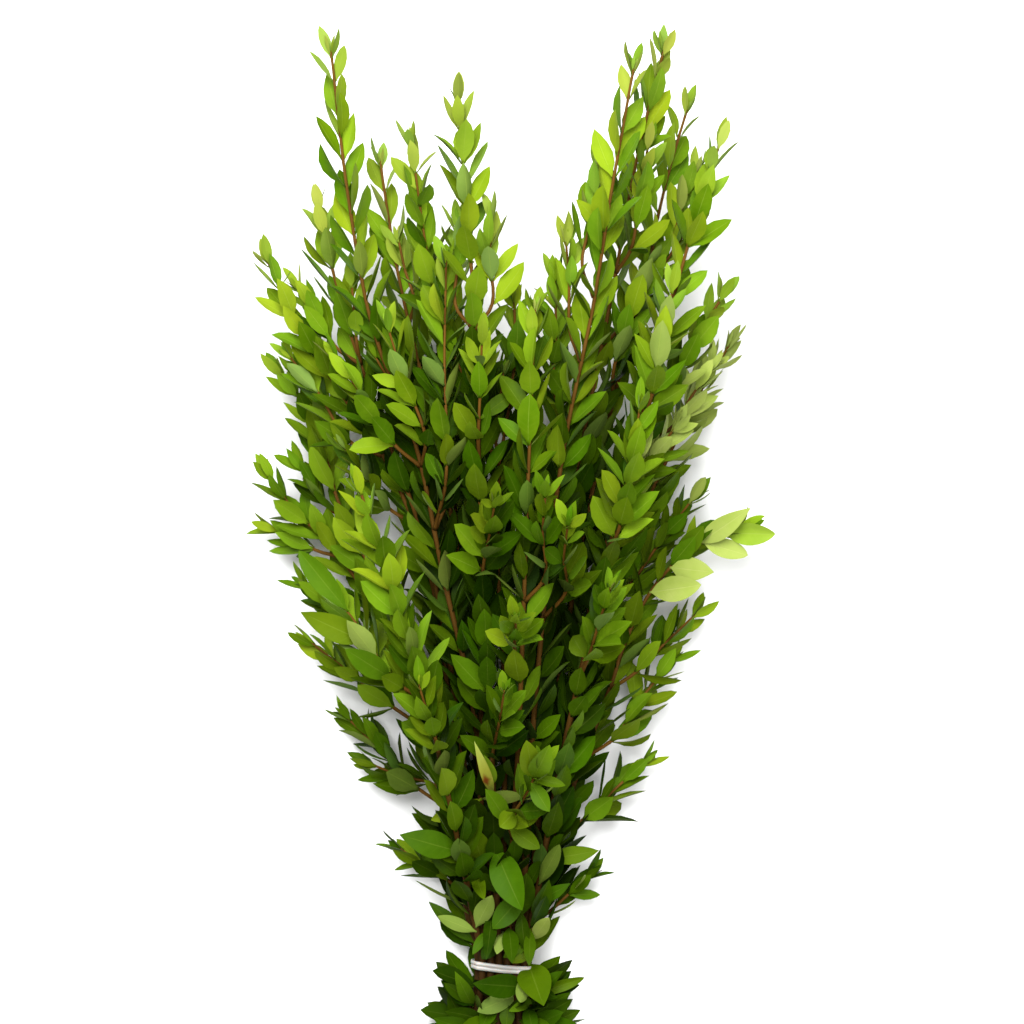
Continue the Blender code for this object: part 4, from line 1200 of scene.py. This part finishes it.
def tip_bud(name, shoot):
    """The smallest leaves: two crossed pairs, still folded together, at the very tip of a shoot."""
    first = next((facet for site, facet in shoot.borne if site == shoot.sites[-1]), 0)
    for back, length, turn in BUD_PAIRS:
        site = shoot.course.length - back
        ahead = shoot.frame(site)[1]
        for facet in ((first + turn) % 4, (first + turn + 2) % 4):
            normal = shoot.normal(site, facet)
            lean = math.radians(draw.uniform(*BUD_LEAN))
            out = unit(ahead * math.cos(lean) + normal * math.sin(lean))
            up = unit(ahead * math.sin(lean) - normal * math.cos(lean))
            long = length * draw.uniform(*BUD_LENGTH)
            curl = draw.uniform(*BUD_CURL)
            pose = (shoot.facet_centre(site, facet), out, up, long, long * BUD_WIDTH, curl)
            leaves[name].append(shown_pose(pose, age_at(shoot, site)))


for name, shoots in branches.items():
    for shoot in shoots:
        for joints, single_from, shrink in ((joints_at_tie(shoot), math.inf, 1),
                                            (joints_between(shoot), SINGLE_PAIRS_BETWEEN, 1),
                                            (shoot.sites, SINGLE_PAIRS, SHRUNK)):
            for number, site in enumerate(joints):
                for facet in facets_used(shoot, site, number, single_from):
                    if (site, facet) not in shoot.borne:
                        add_leaf(name, shoot, site, facet, shrink)
        tip_bud(name, shoot)

# Painted shade: leaves that others stand close round, those enclosed deep in the bunch and those at the
# waist by the tie get little light, so their colours are darkened for it, less near the open tips. The
# shade is added to each leaf's age, and the colour follows that age to the old greens and, past 2, near
# black.
CROWD_REACH = 0.04
CROWD_NONE = 28
CROWD_FULL = 80
CROWD_SHADE = 0.68
OPEN_FROM = 0.52
OPEN_STRETCH = 0.20
OPEN_SHARE = 0.25
YOUNGEST_SHADED_INSIDE = 1.1
WAIST_FROM = 0.20
WAIST_STRETCH = 0.15
WAIST_SHADE = 0.62
DEEP_FULL = 2.2
DEEP_SHADE = 1.1
DARKEST_AGE_WITH_SHADE = 3.0

# One shoot at the bunch's right edge has faded.
FADED = 0.8
FADED_ALONG = (0.335, 0.430)
FADED_ACROSS = -0.147
FADED_SLOPE = 0.69

everyone = [row for rows in leaves.values() for row in rows]
middles = np.array([row[0] + row[1] * row[3] / 2 for row in everyone])
near = np.array([(np.linalg.norm(middles - middle, axis=1) < CROWD_REACH).sum() for middle in middles])
crowd = np.clip((near - CROWD_NONE) / (CROWD_FULL - CROWD_NONE), 0, 1)
inside = np.clip((OPEN_FROM - middles[:, 1]) / OPEN_STRETCH, 0, 1)
waist = np.clip((WAIST_FROM - middles[:, 1]) / WAIST_STRETCH, 0, 1)
deep = np.clip(room.enclosed(tested(everyone)) / DEEP_FULL, 0, 1)
# The painted shade of each leaf: from crowding and depth, weaker near the open tips, and from the waist.
shade = (crowd * CROWD_SHADE + deep * DEEP_SHADE) * np.maximum(inside, OPEN_SHARE) + waist * WAIST_SHADE
# As part of the painted shade, leaves below the open tips and shaded leaves lose their young colour.
youngest_shaded = np.maximum(inside * YOUNGEST_SHADED_INSIDE, np.minimum(shade * 2, 1))
ages_with_painted_shade = iter(np.minimum(np.maximum([row[6] for row in everyone], youngest_shaded) + shade, DARKEST_AGE_WITH_SHADE))
fading = iter(FADED * ((middles[:, 1] > FADED_ALONG[0]) & (middles[:, 1] < FADED_ALONG[1])
                       & (middles[:, 0] > FADED_ACROSS + middles[:, 1] * FADED_SLOPE)))
for name, rows in leaves.items():
    leaves[name] = [(*row[:6], age, row[7], pale) for row, age, pale in zip(rows, ages_with_painted_shade, fading)]

# Each leafy branch as one skin: round bark over the stem and its shoots, and the leaves grown from it.
# A leaf is a thin closed blade, folded up a little along its midrib, with a paler, duller underside.

LEAF_ALONG = np.array([0.0, 0.10, 0.26, 0.46, 0.67, 0.87])
HAND_SET_ALONG = np.array([0.0, 0.05, 0.12, 0.20, 0.30, 0.40, 0.50, 0.60, 0.70, 0.80, 0.88, 0.95])
LEAF_ACROSS = np.array([-1, -0.55, 0, 0.55, 1, 0.55, 0, -0.55])
LEAF_SIDE = np.array([0, 1, 1, 1, 0, -1, -1, -1])
LEAF_THICK = 0.00042
RIB_DEPTH = np.array([0, 0, -0.00008, 0, 0, 0, -0.00022, 0])
BARK_SIDES = 9
BARK_STEP = 0.0045
BARK_ROUND = 0.93
JOINT_SWELL = 0.16
JOINT_LENGTH = 0.0022
THICK_AT_ROOT = 1.3
THINNER = 0.5
LEAF_ENDS = (-0.02, 1.0)
# A side shoot's foot: how deep it starts in its parent, and its swelling there, as (place, swelling).
SHOOT_SUNK = 0.25
BARK_FOOT = ((-0.004, 1.35), (-0.002, 1.12))
# Dark and light ends of each colour of a leaf, its midrib, and the yellowed leaf's ground and spot. The
# old greens stand both for the oldest leaves and for the painted shade deep in the bunch, and the
# darkest colour is painted shade alone.
GROWN = ((0.062, 0.124, 0.0010), (0.196, 0.268, 0.0100))
OLD_AND_SHADED = ((0.007, 0.018, 0.0002), (0.041, 0.084, 0.0006))
YOUNG = ((0.158, 0.215, 0.014), (0.268, 0.284, 0.065))
LOWER = ((0.084, 0.126, 0.011), (0.186, 0.228, 0.046))
LOWER_OLD_AND_SHADED = (0.024, 0.052, 0.002)
PALE = ((0.200, 0.265, 0.040), (0.300, 0.335, 0.100))
RIB = (0.230, 0.300, 0.040)
PAINTED_SHADE_DARKEST = (0.001, 0.003, 0.0002)
SPOTTED = ((0.260, 0.270, 0.030), (0.150, 0.040, 0.006))
# A leaf's own hue runs from cool to warm, many times over as its tint runs from 0 to 1.
HUES = 13.7
WARMTH = ((0.70, 0.98, 1.0), (1.08, 1.0, 0.9))
VEIN_PAIRS = 8
VEIN_SLANT = 1.1
RIB_NARROW = 15
MOTTLE = (70, 3)
LEAF_RELIEF = (0.0004, 0.5)
YOUNG_BARK = ((0.078, 0.034, 0.004), (0.130, 0.062, 0.009))
# The old bark colour is partly the darker bark of older wood, partly painted shade for the dark bundle by
# the tie.
OLD_BARK_AND_SHADE = ((0.005, 0.0021, 0.0005), (0.021, 0.0095, 0.0017))
PATCHES = (60, 3)
GRAIN = (1800, 4)
GRAIN_STRETCH = 0.06
BARK_RELIEF = (0.0003, 0.6)
CUT_RINGS = ((0.520, 0.400, 0.220), (0.680, 0.560, 0.350))
PITH = (0.330, 0.220, 0.110)
PITH_SHARE = 0.2
YEAR_RINGS = 26
CUT_RELIEF = (0.0001, 0.4)


def fan(apex, first, sides):
    """Triangles from an end point to the ring of points that begins at first."""
    ring = first + np.arange(sides)
    return np.stack([np.full(sides, apex), ring, np.roll(ring, -1)], axis=-1)


def leaf_meshes(blades, at):
    """Points, own places, natures with shade (age with its painted shade, tint and paleness), edge marks and
    faces of leaves: rings of eight with a point at each end.

    The faces come as pairs of an array of corners and the number of their finish."""
    points, normals = blades.surface(at, LEAF_ACROSS)
    n, rings, sides = points.shape[:3]
    at_rings = at[:, None]
    thick = LEAF_SIDE * LEAF_THICK / 2 * (THICK_AT_ROOT - THINNER * at_rings) + RIB_DEPTH * (1 - at_rings)
    points = points + normals * thick[None, :, :, None]
    ends, _ = blades.surface(np.array(LEAF_ENDS), np.array([0.0]))
    points = np.concatenate([points.reshape(n, -1, 3), ends.reshape(n, 2, 3)], axis=1)
    along = np.concatenate([np.repeat(at, sides), [0, 1]])
    across, side = (np.concatenate([np.tile(row, rings), [0, 0]]) for row in (LEAF_ACROSS, LEAF_SIDE))
    own = np.broadcast_to(np.stack([along, across, side], axis=-1), points.shape)
    nature_and_shade = np.stack([blades.age, blades.tint, blades.pale], axis=-1)[:, None] + np.zeros(points.shape)
    edge = np.broadcast_to(side == 0, points.shape[:2])
    first = np.arange(n)[:, None, None] * points.shape[1]
    quads = tube_quads(rings, sides)[:, [0, 3, 2, 1]] + first
    root, tip, last = rings * sides, rings * sides + 1, (rings - 1) * sides
    fans = np.concatenate([fan(root, 0, sides), fan(tip, last, sides)[:, [0, 2, 1]]]) + first
    return (*(rows.reshape(-1, 3) for rows in (points, own, nature_and_shade)), edge.reshape(-1),
            [(quads.reshape(-1, 4), 0), (fans.reshape(-1, 3), 0)])


def bark_mesh(shoot):
    """The same for a round tube along the shoot, thicker at each joint, from its parent or its cut end."""
    length = shoot.course.length
    arcs = np.linspace(0, length, max(4, int(length / BARK_STEP)))
    frames = [shoot.frame(arc) for arc in arcs]
    centres, ahead, side, other = (np.array([row[k] for row in frames]) for k in range(4))
    radii = np.array([shoot.half(arc) for arc in arcs]) * BARK_ROUND
    near = np.exp(-((arcs[:, None] - np.array(shoot.sites)) / JOINT_LENGTH) ** 2).sum(axis=1)
    radii = radii * (1 + JOINT_SWELL * np.clip(near, 0, 1))
    if shoot.root_loop is not None:
        foot = shoot.root_loop.mean(axis=0)
        inner = foot - (centres[0] - foot) * SHOOT_SUNK
        centres = np.vstack([inner, (foot + centres[0]) / 2, centres])
        ahead, side, other = (np.vstack([v[0], v[0], v]) for v in (ahead, side, other))
        foot_arcs, swell = np.array(BARK_FOOT).T
        radii = np.concatenate([radii[0] * swell, radii])
        arcs = np.concatenate([foot_arcs, arcs])
    turn = np.linspace(0, 2 * math.pi, BARK_SIDES, endpoint=False)
    around = side[:, None] * np.cos(turn)[:, None] + other[:, None] * np.sin(turn)[:, None]
    points = (centres[:, None] + around * radii[:, None, None]).reshape(-1, 3)
    own = np.stack([radii[:, None] * np.cos(turn), radii[:, None] * np.sin(turn),
                    arcs[:, None] * np.ones(BARK_SIDES)], axis=-1).reshape(-1, 3)
    points = np.vstack([points, centres[0], centres[-1] + ahead[-1] * radii[-1]])
    own = np.vstack([own, [0, 0, arcs[0]], [0, 0, arcs[-1]]])
    m, n = len(arcs), BARK_SIDES
    wood = np.clip(radii / STEM_HALF, 0, 1)
    nature_and_shade = np.stack([np.concatenate([np.repeat(wood, n), [wood[0], wood[-1]]])] * 3, axis=-1)
    return (points, own, nature_and_shade, np.zeros(len(points), bool),
            [(tube_quads(m, n), 1), (fan(m * n + 1, (m - 1) * n, n), 1),
             (fan(m * n, 0, n)[:, [0, 2, 1]], 2 if shoot.root_loop is None else 1)])


def leaf_finish():
    finish = Finish("myrtle_leaf", Specular_IOR_Level=0.02)
    along, across, side = finish.own("own_place")
    age, tint, pale = finish.own("nature_and_shade")
    off = abs(across)
    rib = (1 - off * RIB_NARROW).held()
    waves = ((along * VEIN_PAIRS - off * VEIN_SLANT) * 6.2832).cosine()
    veins = (waves * 0.5 + 0.5) ** 6 * (1 - along).held()
    mottle = finish.noise(finish.place(), *MOTTLE)
    shade = (tint * 0.85 + mottle * 0.5 - 0.17).held()
    younger = finish.mix((1 - age).held() ** 1.5 * 0.8, finish.mix(shade, *GROWN), finish.mix(tint, *YOUNG))
    # Past age 1 the colour goes towards the old greens, both for old leaves and for painted shade.
    upper = finish.mix((age - 1).held(), younger, finish.mix(shade, *OLD_AND_SHADED))
    lower = finish.mix((age - 1).held() * 0.8, finish.mix(shade, *LOWER), LOWER_OLD_AND_SHADED)
    warmth = finish.mix((tint * HUES).fraction() * 0.8 + mottle * 0.2, *WARMTH)
    colour = finish.node("ShaderNodeVectorMath", {"operation": "MULTIPLY"},
                         {0: finish.mix(side > 0, lower, upper), 1: warmth})
    # The midrib shows less on old leaves and on leaves with painted shade.
    fresh = 1 - (age - 1).held() * 0.65
    colour = finish.mix((rib * 0.28 + veins * 0.04).held() * fresh, colour, RIB)
    colour = finish.mix(pale.held(), colour, finish.mix(mottle + rib * 0.4 - 0.2, *PALE))
    # Painted shade: past age 2, for the leaves deepest in the bunch, the colour goes towards near black.
    colour = finish.mix((age - 2).held() * 0.7, colour, PAINTED_SHADE_DARKEST)
    yellowed = (pale - 1).held() * (1.25 - abs(along - 0.4) * 1.8).held()
    spot = (1.5 - abs(along - 0.38) * 9 - abs(across - 0.4) * 1.2).held()
    colour = finish.mix(yellowed, colour, finish.mix(spot, *SPOTTED))
    finish.feed(finish.shader.inputs["Base Color"], colour)
    finish.feed(finish.shader.inputs["Roughness"], 0.58 - (side > 0) * 0.20 + mottle * 0.10)
    finish.bump((rib * 0.6 + veins * 0.25) * -1 * side, *LEAF_RELIEF)
    return finish.material


def bark_finish():
    finish = Finish("young_bark", Roughness=0.62, Specular_IOR_Level=0.05)
    x, y, z = finish.own("own_place")
    wood, _, _ = finish.own("nature_and_shade")
    grain_place = finish.node("ShaderNodeCombineXYZ", {}, {0: x, 1: y, 2: z * GRAIN_STRETCH})
    grain = finish.noise(grain_place, *GRAIN)
    young = finish.mix(finish.noise(finish.place(), *PATCHES), *YOUNG_BARK)
    # Thick stems turn towards the old bark colour, which is partly painted shade.
    finish.feed(finish.shader.inputs["Base Color"],
                finish.mix((wood * 1.3 - 0.35).held(), young, finish.mix(grain, *OLD_BARK_AND_SHADE)))
    finish.bump(grain, *BARK_RELIEF)
    return finish.material


def cut_wood_finish():
    finish = Finish("cut_wood", Roughness=0.75)
    x, y, _ = finish.own("own_place")
    from_middle = (x * x + y * y) ** 0.5 / STEM_HALF
    rings = (from_middle * YEAR_RINGS).sine() * 0.5 + 0.5
    finish.feed(finish.shader.inputs["Base Color"],
                finish.mix(from_middle > PITH_SHARE, PITH, finish.mix(rings, *CUT_RINGS)))
    finish.bump(rings, *CUT_RELIEF)
    return finish.material


finishes = [leaf_finish(), bark_finish(), cut_wood_finish()]
for number, (name, shoots) in enumerate(branches.items()):
    parts = [leaf_meshes(Blades(leaves[name], SEED + number), LEAF_ALONG)]
    if hand_set[name]:
        parts.append(leaf_meshes(Blades(hand_set[name]), HAND_SET_ALONG))
    parts += [bark_mesh(shoot) for shoot in shoots]
    points, own, nature_and_shade, edge = (np.concatenate([part[k] for part in parts]) for k in range(4))
    points[:, 2] = np.maximum(points[:, 2], floor_height)
    faces, looks, first = [], [], 0
    for part in parts:
        for corners, look in part[4]:
            faces += (corners + first).tolist()
            looks += [look] * len(corners)
        first += len(part[0])
    piece = add_piece("leafy_" + name, points, faces, finishes)
    mesh = piece.data
    mesh.polygons.foreach_set("material_index", looks)
    # The second attribute holds each leaf's age with its painted shade, its tint and paleness, and for bark
    # its share of wood.
    for kind, values in (("own_place", own), ("nature_and_shade", nature_and_shade)):
        attribute = mesh.attributes.new(kind, "FLOAT_VECTOR", "POINT")
        attribute.data.foreach_set("vector", values.astype(np.float32).ravel())
    ends = np.empty(len(mesh.edges) * 2, np.int32)
    mesh.edges.foreach_get("vertices", ends)
    sharp = edge[ends.reshape(-1, 2)].all(axis=1)
    mesh.attributes.new("sharp_edge", "BOOLEAN", "EDGE").data.foreach_set("value", sharp)
    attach(piece, "root")
    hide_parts(name)

# The floor, a pale seamless sheet that the bunch lies on.

FLOOR_HALF = 4.0
FLOOR_COLOUR = (0.80, 0.80, 0.80)


def floor_finish():
    return Finish("pale_floor", Base_Color=(*FLOOR_COLOUR, 1), Roughness=0.9).material


corner = FLOOR_HALF * np.array([(-1, -1, 0), (1, -1, 0), (1, 1, 0), (-1, 1, 0)])
floor = add_piece("floor", corner - LAID, [(0, 1, 2, 3)], [floor_finish()])

# The light: a bright even room, and a large soft lamp beyond the tips that gives the leaves their shape.

ROOM_LIGHT = 0.24
LAMPS = {"key": ((-0.4, 1.5, 3.0), 2.2, 290), "front": ((0.6, -0.5, 3.1), 2.2, 86)}

world = bpy.data.worlds.new("studio")
world.use_nodes = True
world.node_tree.nodes["Background"].inputs["Color"].default_value = (1, 1, 1, 1)
world.node_tree.nodes["Background"].inputs["Strength"].default_value = ROOM_LIGHT
bpy.context.scene.world = world


def aimed(place, target):
    """The turn that makes a lamp or camera look from a place at a target, its top towards the tips."""
    return (Vector(target) - Vector(place)).to_track_quat("-Z", "Y").to_euler()


for name, (place, size, power) in LAMPS.items():
    lamp = bpy.data.lights.new(name, "AREA")
    lamp.size = size
    lamp.energy = power
    holder = bpy.data.objects.new(name, lamp)
    holder.location = place
    holder.rotation_euler = aimed(place, (0, 0, 0.1))
    bpy.context.scene.collection.objects.link(holder)

# The camera, straight above the bunch, with the band near the frame's lower edge.

CAMERA_HEIGHT = 3.2
CAMERA_OVER = (0.00585, 0.2993)
SEEN_AT = 0.08
SEEN_HALF = 512 * 0.0006442

lens = bpy.data.cameras.new("camera")
lens.angle = 2 * math.atan(SEEN_HALF / (CAMERA_HEIGHT - SEEN_AT))
lens.clip_end = 20
camera = bpy.data.objects.new("camera", lens)
camera.location = (CAMERA_OVER[0] + LAID[0], CAMERA_OVER[1] + LAID[1], CAMERA_HEIGHT)
bpy.context.scene.collection.objects.link(camera)
bpy.context.scene.camera = camera
bpy.context.scene.view_settings.view_transform = "Standard"
